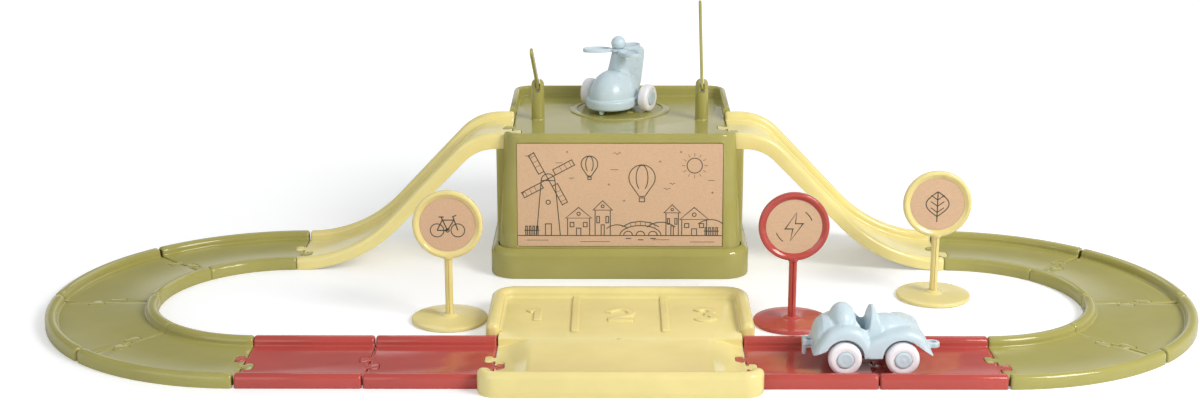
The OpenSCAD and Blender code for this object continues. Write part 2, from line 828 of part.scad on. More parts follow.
module sign_head() {
  pole_foot = boss_h - pole_seat;
  groove_in = 3;
  dish_slope = 0.8;
  head_r = head_d / 2;
  pocket = dish_depth + card_t;
  difference() {
    union() {
      translate([0, 0, pole_foot]) cylinder(h = head_z - head_r + head_t - pole_foot, d = pole_d);
      translate([0, head_t / 2, head_z]) rotate([90, 0, 0]) rotate_extrude() intersection() {
        translate([0, head_t / 2]) round_rect2d(head_d, head_t, head_t * 0.4);
        square([head_r + 1, head_t]);
      }
    }
    for (turn = [0:90:270]) rotate(turn + 45)
      translate([pole_d / 2, 0, boss_h + groove_in])
        cylinder(h = head_z - head_r - boss_h - 2 * groove_in, d = groove_w);
    // Dish with the card's pocket at its bottom
    translate([0, -head_t / 2, head_z]) rotate([-90, 0, 0]) {
      translate([0, 0, -eps])
        cylinder(h = dish_depth, r1 = card_d / 2 + dish_depth + dish_slope, r2 = card_d / 2 + card_clear);
      cylinder(h = pocket, r = card_d / 2 + card_clear);
    }
  }
}

module sign_card() {
  translate([0, dish_depth - head_t / 2, head_z]) rotate([-90, 0, 0]) cylinder(h = card_t, d = card_d);
}

module at_sign(place, tint) {
  in_set() translate(place) color(tint) children();
}

module sign_foot_left() { at_sign(sign_left_at, yellow) sign_foot(); }
module sign_foot_middle() { at_sign(sign_middle_at, red) sign_foot(); }
module sign_foot_right() { at_sign(sign_right_at, yellow) sign_foot(); }
module sign_head_left() { at_sign(sign_left_at, yellow) sign_head(); }
module sign_head_middle() { at_sign(sign_middle_at, red) sign_head(); }
module sign_head_right() { at_sign(sign_right_at, yellow) sign_head(); }
module sign_card_left() { at_sign(sign_left_at, kraft) sign_card(); }
module sign_card_middle() { at_sign(sign_middle_at, kraft) sign_card(); }
module sign_card_right() { at_sign(sign_right_at, kraft) sign_card(); }

// ---- Wheels: each lies along +Z from its inner face ----

module wheel() {
  difference() {
    rotate_extrude() intersection() {
      translate([0, wheel_w / 2]) round_rect2d(wheel_d, wheel_w, wheel_r);
      square([wheel_rad, wheel_w]);
    }
    translate([0, 0, -eps]) cylinder(h = wheel_w + 1, r = axle_r + press_play);
    translate([0, 0, wheel_w - cap_t / 2]) cylinder(h = cap_t, r = cap_d / 2 + press_play);
  }
}

module cap() {
  translate([0, 0, wheel_w - cap_t / 2]) difference() {
    rotate_extrude() intersection() {
      translate([0, cap_t / 2]) round_rect2d(cap_d, cap_t, cap_t * 0.4);
      square([cap_d / 2, cap_t]);
    }
    translate([0, 0, -eps]) cylinder(h = cap_t / 2 + 2 * press_play, r = axle_r + press_play);
  }
}

// Axle for a given distance between the wheels' middles, along Y
module axle(track) {
  length = track + wheel_w;
  rotate([90, 0, 0]) cylinder(h = length, r = axle_r, center = true);
}

// side = -1 puts a wheel or a cap at -Y, 1 at +Y
module on_axle(track, side) {
  translate([0, side * (track - wheel_w) / 2, 0]) rotate([-90 * side, 0, 0]) children();
}

// ---- Car: x forward, z up from the driving surface, origin under its middle ----

arch_r = wheel_rad + arch_gap;
car_half = car_len / 2;

// Side view of the bonnet, cabin and boot
module cabin2d() {
  nose_r = bonnet_rise - wheel_rad;
  boot_drop = 4;
  boot_r = nose_r - boot_drop;
  boot_up = 3;
  seat_r = 7.5;
  skirt_in = 2;
  skirt_h = 8;
  translate([skirt_in - car_half, sill_rise]) square([car_len - 2 * skirt_in, skirt_h]);
  intersection() {
    union() {
      translate([car_half - nose_r, wheel_rad]) circle(nose_r);
      translate([0, wheel_rad]) square([car_half - nose_r, nose_r]);
      translate([boot_r - car_half, wheel_rad + boot_up]) circle(boot_r);
      translate([boot_r - car_half, wheel_rad]) square([car_half - boot_r, boot_r + boot_up]);
    }
    translate([-car_half, sill_rise]) square([car_len, seat_rise]);
  }
  translate([-wheelbase / 2, seat_rise - seat_r]) circle(seat_r);
}

module fender2d() {
  fender_hem = sill_rise + 3;
  for (end = [-1, 1]) intersection() {
    translate([end * wheelbase / 2, wheel_rad]) circle(car_half - wheelbase / 2);
    translate([-car_half, fender_hem]) square([car_len, seat_rise]);
  }
  translate([-wheelbase / 2, sill_rise]) square([wheelbase, wheel_rad]);
}

module across(width) {
  rotate([90, 0, 0]) linear_extrude(width, center = true) children();
}

module windscreen() {
  glass_t = 1.5 * shell_t;
  arch = cabin_w / 2;
  intersection() {
    translate([screen_x, 0, 0]) rotate([0, -screen_lean, 0]) intersection() {
      translate([-glass_t / 2, -arch, 0]) cube([glass_t, cabin_w, screen_rise]);
      translate([0, 0, screen_rise - arch]) rotate([0, 90, 0]) linear_extrude(2 * glass_t, center = true) {
        circle(arch);
        translate([0, -arch]) square([screen_rise, cabin_w]);
      }
    }
    translate([-car_half, -arch, bonnet_rise - wheel_rad]) cube([car_len, cabin_w, screen_rise]);
  }
}

module car_shell() {
  door_r = 6;
  cockpit_w = cabin_w - 3 * shell_t;
  cockpit_len = 14;
  cockpit_front = screen_x - shell_t;
  difference() {
    union() {
      across(cabin_w) cabin2d();
      across(fender_w) fender2d();
    }
    // Cockpit, door cutouts, wheel wells and the hollow under the floor
    translate([cockpit_front - cockpit_len, -cockpit_w / 2, sill_rise + 2 * shell_t])
      cube([cockpit_len, cockpit_w, seat_rise]);
    translate([cockpit_front - cockpit_len / 2, 0, bonnet_rise]) across(2 * fender_w) circle(door_r);
    for (end = [-1, 1], side = [-1, 1])
      translate([end * wheelbase / 2, side * (car_track + wheel_w) / 2, wheel_rad])
        across(2 * wheel_w + 2 * arch_gap) circle(arch_r);
    translate([-wheelbase / 2 + arch_r, -cockpit_w / 2, -eps])
      cube([wheelbase - 2 * arch_r, cockpit_w, sill_rise + shell_t]);
  }
  windscreen();
}

module car_body() {
  hook_w = 9;
  hook_h = 10.8;
  hook_reach = 6.5;
  hook_root = 3.5;
  hook_z = sill_rise - 3;
  hook_pin_d = tow_hole_d - 0.6;
  tongue_w = tow_hole_d + 2 * shell_t;
  tongue_reach = 4;
  tongue_z = sill_rise + 2;
  in_set() translate([car_x, 0, floor_z + rest_gap]) color(blue) difference() {
    union() {
      car_shell();
      // Rear hook: an arm with a downward pin that drops into another car's tongue
      translate([-car_half - hook_reach, -hook_w / 2, hook_z + hook_h - tow_t])
        cube([hook_reach + hook_root, hook_w, tow_t]);
      translate([hook_pin_d / 2 - car_half - hook_reach, 0, hook_z]) cylinder(h = hook_h - 1, d = hook_pin_d);
      // Front tongue
      translate([car_half - tongue_reach, -tongue_w / 2, tongue_z]) cube([2 * tongue_reach, tongue_w, tow_t]);
      translate([car_half + tongue_reach, 0, tongue_z]) cylinder(h = tow_t, d = tongue_w);
    }
    translate([car_half + tongue_reach, 0, 0]) cylinder(h = 2 * bonnet_rise, d = tow_hole_d);
    for (end = [-1, 1]) translate([end * wheelbase / 2, 0, wheel_rad]) rotate([90, 0, 0])
      cylinder(h = 2 * fender_w, r = axle_r + axle_play, center = true);
  }
}

module on_car_axle(end) {
  in_set() translate([car_x + end * wheelbase / 2, 0, floor_z + rest_gap + wheel_rad]) children();
}

module car_wheel_at(end, side) {
  on_car_axle(end) on_axle(car_track, side) color(white) wheel();
}

module car_cap_at(end, side) {
  on_car_axle(end) on_axle(car_track, side) color(blue) cap();
}

module car_axle_front() { on_car_axle(1) color(blue) axle(car_track); }
module car_axle_rear() { on_car_axle(-1) color(blue) axle(car_track); }
module car_wheel_front_left() { car_wheel_at(1, 1); }
module car_wheel_front_right() { car_wheel_at(1, -1); }
module car_wheel_rear_left() { car_wheel_at(-1, 1); }
module car_wheel_rear_right() { car_wheel_at(-1, -1); }
module car_cap_front_left() { car_cap_at(1, 1); }
module car_cap_front_right() { car_cap_at(1, -1); }
module car_cap_rear_left() { car_cap_at(-1, 1); }
module car_cap_rear_right() { car_cap_at(-1, -1); }

// ---- Helicopter: nose towards -Y, z up from the deck, origin under its axle ----

module at_helicopter(up = 0) {
  in_set() translate([heli_at[0], pad_y + heli_at[1], deck_z + rest_gap + up]) rotate(heli_turn) children();
}

mast_top = rotor_rise - blade_t / 2 - rotor_gap;

// Fin behind the mast, seen from the side
module tail2d(foot_z) {
  top = rotor_rise - 6;
  edge_r = 3;
  undercut = 6;
  translate([edge_r - tail_reach, top - edge_r]) circle(edge_r);
  polygon([
    [0, foot_z], [-wheel_rad, foot_z - undercut], [undercut - tail_reach, foot_z],
    [-tail_reach, top - edge_r], [edge_r - tail_reach, top], [0, top]
  ]);
}

module helicopter_hull() {
  hull_r = hull_w / 2;
  belly_z = 3.5;
  lip_z = 11;
  dome_r = hull_r - 1.5;
  nose_y = hull_r - nose_reach - 1;
  mast_foot_r = 10;
  mast_top_r = 5;
  foot_r = 2.4;
  foot_tip_r = 1.6;
  // Bumper lip round the hull
  translate([0, 0, belly_z]) linear_extrude(lip_z - belly_z) {
    translate([0, nose_y]) circle(hull_r);
    translate([-hull_r, nose_y]) square([hull_w, wheel_rad - nose_y]);
  }
  // Cabin
  intersection() {
    translate([0, nose_y, lip_z]) union() {
      sphere(dome_r);
      rotate([-90, 0, 0]) cylinder(h = wheel_rad - nose_y, r = dome_r);
    }
    translate([-hull_w, -2 * hull_w, belly_z]) cube([2 * hull_w, 4 * hull_w, rotor_rise]);
  }
  // Mast
  translate([0, 0, lip_z]) cylinder(h = mast_top - lip_z, r1 = mast_foot_r, r2 = mast_top_r);
  // Nose foot
  translate([0, -nose_reach, 0]) cylinder(h = belly_z + 1, r1 = foot_tip_r, r2 = foot_r);
  rotate([90, 0, -90]) linear_extrude(tail_t, center = true) tail2d(lip_z);
}

module helicopter_body() {
  at_helicopter() color(blue) difference() {
    helicopter_hull();
    translate([0, 0, wheel_rad]) rotate([0, 90, 0])
      cylinder(h = 2 * hull_w, r = axle_r + axle_play, center = true);
    translate([0, 0, mast_top - spindle_bore]) cylinder(h = rotor_rise, r = spindle_d / 2 + press_play);
  }
}

module rotor() {
  hub_r = ball_d / 2 + 0.6;
  root_w = 0.7 * blade_w;
  at_helicopter(rotor_rise - blade_t / 2) color(blue) difference() {
    linear_extrude(blade_t) {
      circle(hub_r);
      for (i = [0:blade_count - 1]) rotate(180 - heli_turn + 360 / blade_count * i) {
        stroke2d([blade_w, 0], [blade_len - blade_w / 2, 0], blade_w);
        stroke2d([0, 0], [blade_w, 0], root_w);
      }
    }
    translate([0, 0, -1]) cylinder(h = blade_t + 2, r = spindle_d / 2 + peg_play);
  }
}

module rotor_ball() {
  ball_z = blade_t / 2 + rotor_gap;
  stem = ball_z + rotor_rise - mast_top + spindle_bore - spindle_free;
  sunk = 0.4 * ball_d;
  at_helicopter(rotor_rise) color(blue) {
    translate([0, 0, ball_z - stem]) cylinder(h = stem + 1, d = spindle_d);
    intersection() {
      translate([0, 0, ball_z + sunk]) sphere(ball_d / 2);
      translate([-ball_d, -ball_d, ball_z]) cube(2 * ball_d);
    }
  }
}

module on_heli_axle(side) {
  at_helicopter(wheel_rad) rotate(90) on_axle(heli_track, side) children();
}

module helicopter_axle() { at_helicopter(wheel_rad) rotate(90) color(blue) axle(heli_track); }
module helicopter_wheel_left() { on_heli_axle(-1) color(white) wheel(); }
module helicopter_wheel_right() { on_heli_axle(1) color(white) wheel(); }
module helicopter_cap_left() { on_heli_axle(-1) color(blue) cap(); }
module helicopter_cap_right() { on_heli_axle(1) color(blue) cap(); }

curve_left_1();
curve_left_2();
curve_left_3();
curve_left_4();
curve_right_1();
curve_right_2();
curve_right_3();
curve_right_4();
straight_left_1();
straight_left_2();
straight_right_1();
straight_right_2();
parking_tray();
ramp_left();
ramp_right();
box_body();
box_base();
box_label();
barrier_post_left();
barrier_post_right();
barrier_pin_left();
barrier_pin_right();
barrier_arm_left();
barrier_arm_right();
sign_foot_left();
sign_foot_middle();
sign_foot_right();
sign_head_left();
sign_head_middle();
sign_head_right();
sign_card_left();
sign_card_middle();
sign_card_right();
car_body();
car_axle_front();
car_axle_rear();
car_wheel_front_left();
car_wheel_front_right();
car_wheel_rear_left();
car_wheel_rear_right();
car_cap_front_left();
car_cap_front_right();
car_cap_rear_left();
car_cap_rear_right();
helicopter_body();
rotor();
rotor_ball();
helicopter_axle();
helicopter_wheel_left();
helicopter_wheel_right();
helicopter_cap_left();
helicopter_cap_right();
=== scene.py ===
import json
from math import acos, asin, atan, atan2, cos, degrees, pi, radians, sin, sqrt, tan

import bmesh
import bpy
from mathutils import Matrix, Vector


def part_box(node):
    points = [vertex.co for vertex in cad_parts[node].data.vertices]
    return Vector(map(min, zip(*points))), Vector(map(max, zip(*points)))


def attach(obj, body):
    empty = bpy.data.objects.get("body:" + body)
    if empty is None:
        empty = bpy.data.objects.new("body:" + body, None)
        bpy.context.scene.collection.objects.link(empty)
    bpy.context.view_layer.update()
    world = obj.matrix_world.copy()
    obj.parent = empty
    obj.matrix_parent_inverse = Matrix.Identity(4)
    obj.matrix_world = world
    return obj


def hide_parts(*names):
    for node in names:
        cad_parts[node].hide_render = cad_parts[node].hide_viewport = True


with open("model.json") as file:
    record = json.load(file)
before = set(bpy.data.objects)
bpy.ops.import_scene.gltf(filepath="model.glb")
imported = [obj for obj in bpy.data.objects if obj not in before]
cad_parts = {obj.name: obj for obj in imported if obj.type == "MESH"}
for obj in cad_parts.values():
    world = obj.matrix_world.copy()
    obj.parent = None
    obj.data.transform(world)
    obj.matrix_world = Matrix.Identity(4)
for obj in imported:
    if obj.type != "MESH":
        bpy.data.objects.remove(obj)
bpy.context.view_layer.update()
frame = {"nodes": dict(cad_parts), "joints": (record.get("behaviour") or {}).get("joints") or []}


MM = 0.001


def vec(*parts):
    return Vector(parts)


# ---- Sizes of the set, in millimetres, as in the part's source ----

ROAD_W = 75.0
KERB_W = 8.0
KERB_H = 9.0
KERB_R = 3.4
FLOOR_Z = 3.0
SHELL = 2.0
SEAM_GAP = 0.8
CURVE_ANGLE = 45.0
CURVES = 4
TAB_OFFSET = 6.7
TAB_W = 11.0
TAB_NECK = 5.6
TAB_REACH = 6.8
TAB_HEAD_R = 2.6
TAB_BACK_R = 1.7
TAB_CLEAR = 0.3
RAMP_LOW_R = 105.0
RAMP_TOP_R = 32.0
RAMP_FLAT = 11.0
SKIRT_DROP = 2.5


def mm_box(node):
    """Lowest and highest corner of a CAD node, in millimetres."""
    low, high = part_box(node)
    return low / MM, high / MM


def mm_middle(*nodes):
    corners = [mm_box(n) for n in nodes]
    low = Vector([min(c[0][i] for c in corners) for i in range(3)])
    high = Vector([max(c[1][i] for c in corners) for i in range(3)])
    return (low + high) / 2


# ---- Places, from the frame ----

near_straight = mm_middle("straight_right_1")
far_straight = mm_middle("straight_right_2")
STRAIGHT = far_straight.x - near_straight.x
FRONT_Y = near_straight.y
SEAM_X = near_straight.x - STRAIGHT / 2
LOOP_X = SEAM_X + 2 * STRAIGHT
BACK_Y = mm_middle("ramp_right").y
CURVE_R = (BACK_Y - FRONT_Y) / 2
DECK_Z = mm_box("ramp_right")[1].z - KERB_H + FLOOR_Z
RAMP_RISE = DECK_Z - FLOOR_Z

# ---- Outlines: closed lists of 2D points, counter-clockwise ----


def spaced(start, end, steps):
    """Evenly spaced values from start to end."""
    return [start + (end - start) * k / steps for k in range(steps + 1)]


def rounded(corners, steps=5):
    """Outline with round corners, from (x, y, radius) for each corner."""
    outline = []
    for i, (x, y, r) in enumerate(corners):
        here = vec(x, y)
        if r <= 0:
            outline.append(here)
            continue
        to_last = (Vector(corners[i - 1][:2]) - here).normalized()
        to_next = (Vector(corners[(i + 1) % len(corners)][:2]) - here).normalized()
        half = to_last.angle(to_next) / 2
        middle = here + (to_last + to_next).normalized() * (r / sin(half))
        first = here + to_last * (r / tan(half)) - middle
        turn = first.angle_signed(here + to_next * (r / tan(half)) - middle)
        for k in range(steps + 1):
            outline.append(middle + Matrix.Rotation(-turn * k / steps, 2) @ first)
    return outline


def grown(outline, by):
    """The outline moved outwards by a distance, or inwards if it is negative."""
    points = []
    for i, point in enumerate(outline):
        before = (point - outline[i - 1]).normalized()
        after = (outline[(i + 1) % len(outline)] - point).normalized()
        normals = vec(before.y, -before.x) + vec(after.y, -after.x)
        points.append(point + normals * (by / max(1 + before.dot(after), 0.3)))
    return points


def turns(steps):
    """Evenly spaced angles once round a circle."""
    return [2 * pi * k / steps for k in range(steps)]


def circle(r, steps=48, x=0.0, y=0.0):
    return [vec(x + r * cos(a), y + r * sin(a)) for a in turns(steps)]


def rectangle(x0, y0, x1, y1, low_r, high_r, steps=5):
    """Rectangle with its lower and its upper corners rounded."""
    return rounded([(x0, y0, low_r), (x1, y0, low_r), (x1, y1, high_r), (x0, y1, high_r)], steps)


def round_rect(w, d, r, steps=6):
    return rectangle(-w / 2, -d / 2, w / 2, d / 2, r, r, steps)


def at_height(outline, z):
    return [vec(p.x, p.y, z) for p in outline]


# ---- Meshes ----

SHARP_ANGLE = radians(38)


def finish_mesh(obj, sharp=SHARP_ANGLE):
    for polygon in obj.data.polygons:
        polygon.use_smooth = True
    obj.data.set_sharp_from_angle(angle=sharp)
    return obj


def placed(name, data):
    """A new object in the scene."""
    obj = bpy.data.objects.new(name, data)
    bpy.context.scene.collection.objects.link(obj)
    return obj


def from_bmesh(name, bm):
    mesh = bpy.data.meshes.new(name)
    bm.to_mesh(mesh)
    bm.free()
    return finish_mesh(placed(name, mesh))


def mesh_object(name, points, faces):
    """Object from points in millimetres and faces, with its normals outwards."""
    bm = bmesh.new()
    verts = [bm.verts.new(Vector(p) * MM) for p in points]
    for face in faces:
        bm.faces.new([verts[i] for i in face])
    bmesh.ops.recalc_face_normals(bm, faces=bm.faces)
    return from_bmesh(name, bm)


def loft(name, rings, closed=False):
    """Skin over rings of equal length; closed joins last to first, else both ends are capped."""
    n = len(rings[0])
    points = [p for ring in rings for p in ring]
    faces = []
    for r in range(len(rings) if closed else len(rings) - 1):
        a, b = r * n, (r + 1) % len(rings) * n
        faces += [(a + i, a + (i + 1) % n, b + (i + 1) % n, b + i) for i in range(n)]
    if not closed:
        faces.append(tuple(reversed(range(n))))
        faces.append(tuple(range(len(points) - n, len(points))))
    return mesh_object(name, points, faces)


def side_loft(name, sections):
    """Loft through (outline, y) sections, whose outlines are (x, z) points."""
    return loft(name, [[vec(x, y, z) for x, z in outline] for outline, y in sections])


def lathe(name, profile, steps=64):
    """Solid of revolution round Z from (radius, z) points; it may begin and end on the axis."""
    points, rows = [], []
    for radius, z in profile:
        if radius <= 0:
            rows.append([len(points)] * steps)
            points.append(vec(0, 0, z))
            continue
        rows.append(list(range(len(points), len(points) + steps)))
        points += at_height(circle(radius, steps), z)
    faces = []
    for low, high in zip(rows, rows[1:]):
        for i in range(steps):
            j = (i + 1) % steps
            face = dict.fromkeys((low[i], low[j], high[j], high[i]))
            if len(face) > 2:
                faces.append(tuple(face))
    return mesh_object(name, points, faces)


def rod(name, low, high, r, steps):
    """Cylinder along Z, as a cutter."""
    return lathe(name, [(0, low), (r, low), (r, high), (0, high)], steps)


def prism(name, outline, low, high, bevel=0.0, steps=3):
    """Upright solid over an outline, its top edge rounded by bevel."""
    rings = [at_height(outline, low)]
    for k in range(steps + 1 if bevel else 1):
        angle = pi / 2 * k / steps
        inset = bevel * (1 - cos(angle))
        rings.append(at_height(grown(outline, -inset), high - bevel + bevel * sin(angle)))
    return loft(name, rings)


def sweep(name, outline, stations, nose=0.0, steps=3):
    """Outline carried along stations of (origin, right, up), with ends rounded by nose beyond them.

    The outline may be a function of (station, inset)."""
    def ring(station, inset, ahead):
        origin, right, up = station
        start = origin + up.cross(right) * ahead
        if callable(outline):
            shape = outline(station, inset)
        else:
            shape = grown(outline, -inset) if inset else outline
        return [start + right * p.x + up * p.y for p in shape]

    ends = []
    for k in range(steps, 0, -1) if nose else ():
        angle = pi / 2 * k / steps
        ends.append((nose * (1 - cos(angle)), nose * sin(angle)))
    rings = [ring(stations[0], inset, -ahead) for inset, ahead in ends]
    rings += [ring(station, 0, 0) for station in stations]
    rings += [ring(stations[-1], inset, ahead) for inset, ahead in reversed(ends)]
    return loft(name, rings)


def applied(obj):
    """The object with its modifiers made part of its mesh."""
    graph = bpy.context.evaluated_depsgraph_get()
    mesh = bpy.data.meshes.new_from_object(obj.evaluated_get(graph))
    obj.modifiers.clear()
    obj.data = mesh
    return obj


def moved(obj, matrix):
    """The object's mesh turned and moved, in millimetres."""
    matrix = matrix.copy()
    matrix.translation = matrix.translation * MM
    obj.data.transform(matrix)
    return obj


def joined(name, parts):
    bm = bmesh.new()
    for part in parts:
        bm.from_mesh(part.data)
        bpy.data.objects.remove(part)
    return from_bmesh(name, bm)


def combined(obj, tools, operation):
    """Boolean of the object with several tools, which are used up."""
    tool = joined("tool", tools)
    modifier = obj.modifiers.new("boolean", "BOOLEAN")
    modifier.operation = operation
    modifier.solver = "EXACT"
    modifier.use_self = operation == "UNION"
    modifier.object = tool
    applied(obj)
    bpy.data.objects.remove(tool)
    return finish_mesh(obj)


def minus(obj, *tools):
    return combined(obj, tools, "DIFFERENCE")


def plus(obj, *tools):
    return combined(obj, tools, "UNION")


def at(x=0.0, y=0.0, z=0.0, turn=0.0):
    return tipped(radians(turn), "Z", x, y, z)


def tipped(angle, axis, x=0.0, y=0.0, z=0.0):
    """Place turned round an axis of its own."""
    return Matrix.Translation((x, y, z)) @ Matrix.Rotation(angle, 4, axis)


def copy_of(obj, name):
    return placed(name, obj.data.copy())


def dress(obj, material):
    obj.data.materials.clear()
    obj.data.materials.append(material)


def shown(obj, name, body, material, *nodes):
    """Names a finished piece, gives it its material and body, and lets it stand for CAD nodes."""
    obj.name = name
    obj.data.name = name
    dress(obj, material)
    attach(obj, body)
    if nodes:
        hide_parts(*nodes)


# ---- Materials ----


def node(tree, kind, **inputs):
    """New shader node of a kind, with constants on its inputs."""
    made = tree.nodes.new("ShaderNode" + kind)
    for name, value in inputs.items():
        made.inputs[name.replace("_", " ")].default_value = value
    return made


def link(tree, source, output, target, socket):
    tree.links.new(source.outputs[output], target.inputs[socket])


def linear(srgb):
    return tuple(((c / 255 + 0.055) / 1.055) ** 2.4 if c > 10 else c / 255 / 12.92 for c in srgb) + (1.0,)


def shaded(colour, factor):
    return tuple(min(c * factor, 1.0) for c in colour[:3]) + (1.0,)


def noise(tree, scale, detail=3.0, rough=0.55):
    coordinates = node(tree, "TexCoord")
    texture = node(tree, "TexNoise", Scale=scale, Detail=detail, Roughness=rough)
    link(tree, coordinates, "Object", texture, "Vector")
    return texture.outputs["Fac"]


def ramp(tree, value, low, high, start=0.35, end=0.65):
    """Colour ramp between two colours, driven by a value."""
    colours = node(tree, "ValToRGB")
    colours.color_ramp.elements[0].position = start
    colours.color_ramp.elements[1].position = end
    colours.color_ramp.elements[0].color = low
    colours.color_ramp.elements[1].color = high
    tree.links.new(value, colours.inputs["Fac"])
    return colours.outputs["Color"]


def spread(tree, value, low, high):
    """The value's middle range mapped to low..high."""
    mapped = node(tree, "MapRange", From_Min=0.3, From_Max=0.7, To_Min=low, To_Max=high)
    tree.links.new(value, mapped.inputs["Value"])
    return mapped.outputs["Result"]


def bumped(tree, shader, heights):
    """Adds bumps from (value, strength, distance in millimetres) to the shader's normal."""
    last = None
    for value, strength, distance in heights:
        bump = node(tree, "Bump", Strength=strength, Distance=distance * MM)
        tree.links.new(value, bump.inputs["Height"])
        if last:
            link(tree, last, "Normal", bump, "Normal")
        last = bump
    link(tree, last, "Normal", shader, "Normal")


def new_material(name):
    material = bpy.data.materials.new(name)
    material.use_nodes = True
    return material, material.node_tree, material.node_tree.nodes["Principled BSDF"]


def plastic(name, srgb, gloss, satin, glow=0.0):
    """Moulded plastic: faint cloudiness in its colour, uneven polish, slight ripple and fine grain."""
    material, tree, shader = new_material(name)
    colour = linear(srgb)
    cloud = noise(tree, 22.0, 4.0)
    clouded = ramp(tree, cloud, shaded(colour, 0.955), shaded(colour, 1.035))
    tree.links.new(clouded, shader.inputs["Base Color"])
    tree.links.new(spread(tree, noise(tree, 55.0, 5.0, 0.65), gloss, satin), shader.inputs["Roughness"])
    bumped(tree, shader, [(noise(tree, 38.0, 1.0), 0.06, 0.6), (noise(tree, 900.0, 2.0), 0.05, 0.05)])
    shader.inputs["IOR"].default_value = 1.48
    if glow:
        shader.inputs["Subsurface Weight"].default_value = glow
        shader.inputs["Subsurface Radius"].default_value = (1.0, 0.8, 0.6)
        shader.inputs["Subsurface Scale"].default_value = 1.5 * MM
    return material


def card(name, srgb):
    """Brown card: long pale and dark fibres over a fine mottle."""
    material, tree, shader = new_material(name)
    colour = linear(srgb)
    coordinates = node(tree, "TexCoord")
    stretch = node(tree, "Mapping", Scale=(420.0, 800.0, 2400.0))
    fibre = node(tree, "TexNoise", Scale=1.0, Detail=4.0, Roughness=0.7)
    link(tree, coordinates, "Object", stretch, "Vector")
    link(tree, stretch, "Vector", fibre, "Vector")
    mottle = noise(tree, 1100.0, 5.0, 0.75)
    both = node(tree, "Mix")
    both.data_type = "FLOAT"
    both.inputs["Factor"].default_value = 0.5
    link(tree, fibre, "Fac", both, "A")
    tree.links.new(mottle, both.inputs["B"])
    mixed = both.outputs["Result"]
    tree.links.new(ramp(tree, mixed, shaded(colour, 0.87), shaded(colour, 1.08), 0.36, 0.62),
                   shader.inputs["Base Color"])
    tree.links.new(spread(tree, mixed, 0.62, 0.82), shader.inputs["Roughness"])
    bumped(tree, shader, [(mixed, 0.25, 0.06)])
    return material


def ink(name, srgb):
    """Printed line: dark and finely mottled."""
    material, tree, shader = new_material(name)
    colour = linear(srgb)
    tree.links.new(ramp(tree, noise(tree, 1400.0, 3.0, 0.7), shaded(colour, 0.8), shaded(colour, 1.5)),
                   shader.inputs["Base Color"])
    tree.links.new(spread(tree, noise(tree, 300.0), 0.55, 0.75), shader.inputs["Roughness"])
    return material


olive = plastic("olive_plastic", (170, 163, 92), 0.07, 0.14)
red = plastic("red_plastic", (188, 80, 72), 0.08, 0.15)
yellow = plastic("yellow_plastic", (237, 221, 150), 0.09, 0.17, 0.12)
pale_yellow = plastic("pale_yellow_plastic", (239, 224, 151), 0.09, 0.17, 0.12)
blue = plastic("blue_plastic", (202, 219, 226), 0.24, 0.36, 0.06)
white = plastic("white_plastic", (246, 243, 246), 0.3, 0.42, 0.06)
kraft = card("printed_card", (217, 181, 147))
dark_ink = ink("printed_ink", (74, 70, 54))


# ---- Road ----

SEAM_HALF = SEAM_GAP / 2
ROAD_NOSE = 1.7
floor_half = ROAD_W / 2 - KERB_W


def channel(skirt=0.0, inset=0.0):
    """Cross-section of the road: two hollow kerbs with the floor between them.

    Skirt lengthens their sides, and inset draws the outer faces in."""
    out, inn = ROAD_W / 2, floor_half
    lip, top_r = -skirt, KERB_R - inset
    edge = 1 - inset / SHELL
    right = [(out - inset, lip, 0.4 * edge), (out - inset, KERB_H - inset, top_r),
             (inn + inset, KERB_H - inset, top_r), (inn + inset, FLOOR_Z - 0.35 * inset, 1.3 + inset)]
    left = [(-x, z, r) for x, z, r in reversed(right)]
    left_under = [(-out + SHELL, lip, 0.3 * edge), (-out + SHELL, KERB_H - SHELL, 1.2),
                  (-inn - SHELL, KERB_H - SHELL, 1.2), (-inn - SHELL, 0, 0.3), (-inn, 0, 0.3),
                  (-inn, FLOOR_Z - SHELL, 0.3)]
    right_under = [(-x, z, r) for x, z, r in reversed(left_under)]
    return rounded(right + left + left_under + right_under, 4)


def level_channel(station, inset):
    return channel(0, inset)


def tab_outline(grow=0.0):
    """Jigsaw tab reaching along +X from the seam."""
    neck, head = TAB_NECK / 2, TAB_W / 2
    back = TAB_REACH - 2 * TAB_HEAD_R
    start = -SEAM_GAP - ROAD_NOSE
    half = [(start, -neck, 0), (back, -neck, 0), (back, -head, TAB_BACK_R), (TAB_REACH, -head, TAB_HEAD_R)]
    outline = rounded(half + [(x, -y, r) for x, y, r in reversed(half)])
    return grown(outline, grow) if grow else outline


def road_end(place, top=FLOOR_Z):
    """Tab and socket cutter of one road end, whose matrix looks along +X out of the piece."""
    tab = prism("tab", tab_outline(), top - SHELL, top, 0.35)
    chamfer = 0.4
    steps = ((0, -SHELL - 1), (0, -chamfer), (chamfer, 0.01), (chamfer, 1))
    socket = loft("socket", [at_height(tab_outline(TAB_CLEAR + wider), top + z) for wider, z in steps])
    moved(tab, place @ at(y=-TAB_OFFSET))
    moved(socket, place @ at(y=TAB_OFFSET) @ Matrix.Rotation(pi, 4, "Z"))
    return tab, socket


def with_ends(piece, places, top=FLOOR_Z):
    ends = [road_end(place, top) for place in places]
    minus(piece, *[socket for _, socket in ends])
    return plus(piece, *[tab for tab, _ in ends])


def straight_mesh():
    start, end = SEAM_HALF + ROAD_NOSE, STRAIGHT - SEAM_HALF - ROAD_NOSE
    stations = [(vec(x, 0, 0), vec(0, -1, 0), vec(0, 0, 1)) for x in (start, end)]
    piece = sweep("straight", level_channel, stations, ROAD_NOSE)
    return with_ends(piece, [at(STRAIGHT), at(turn=180)])


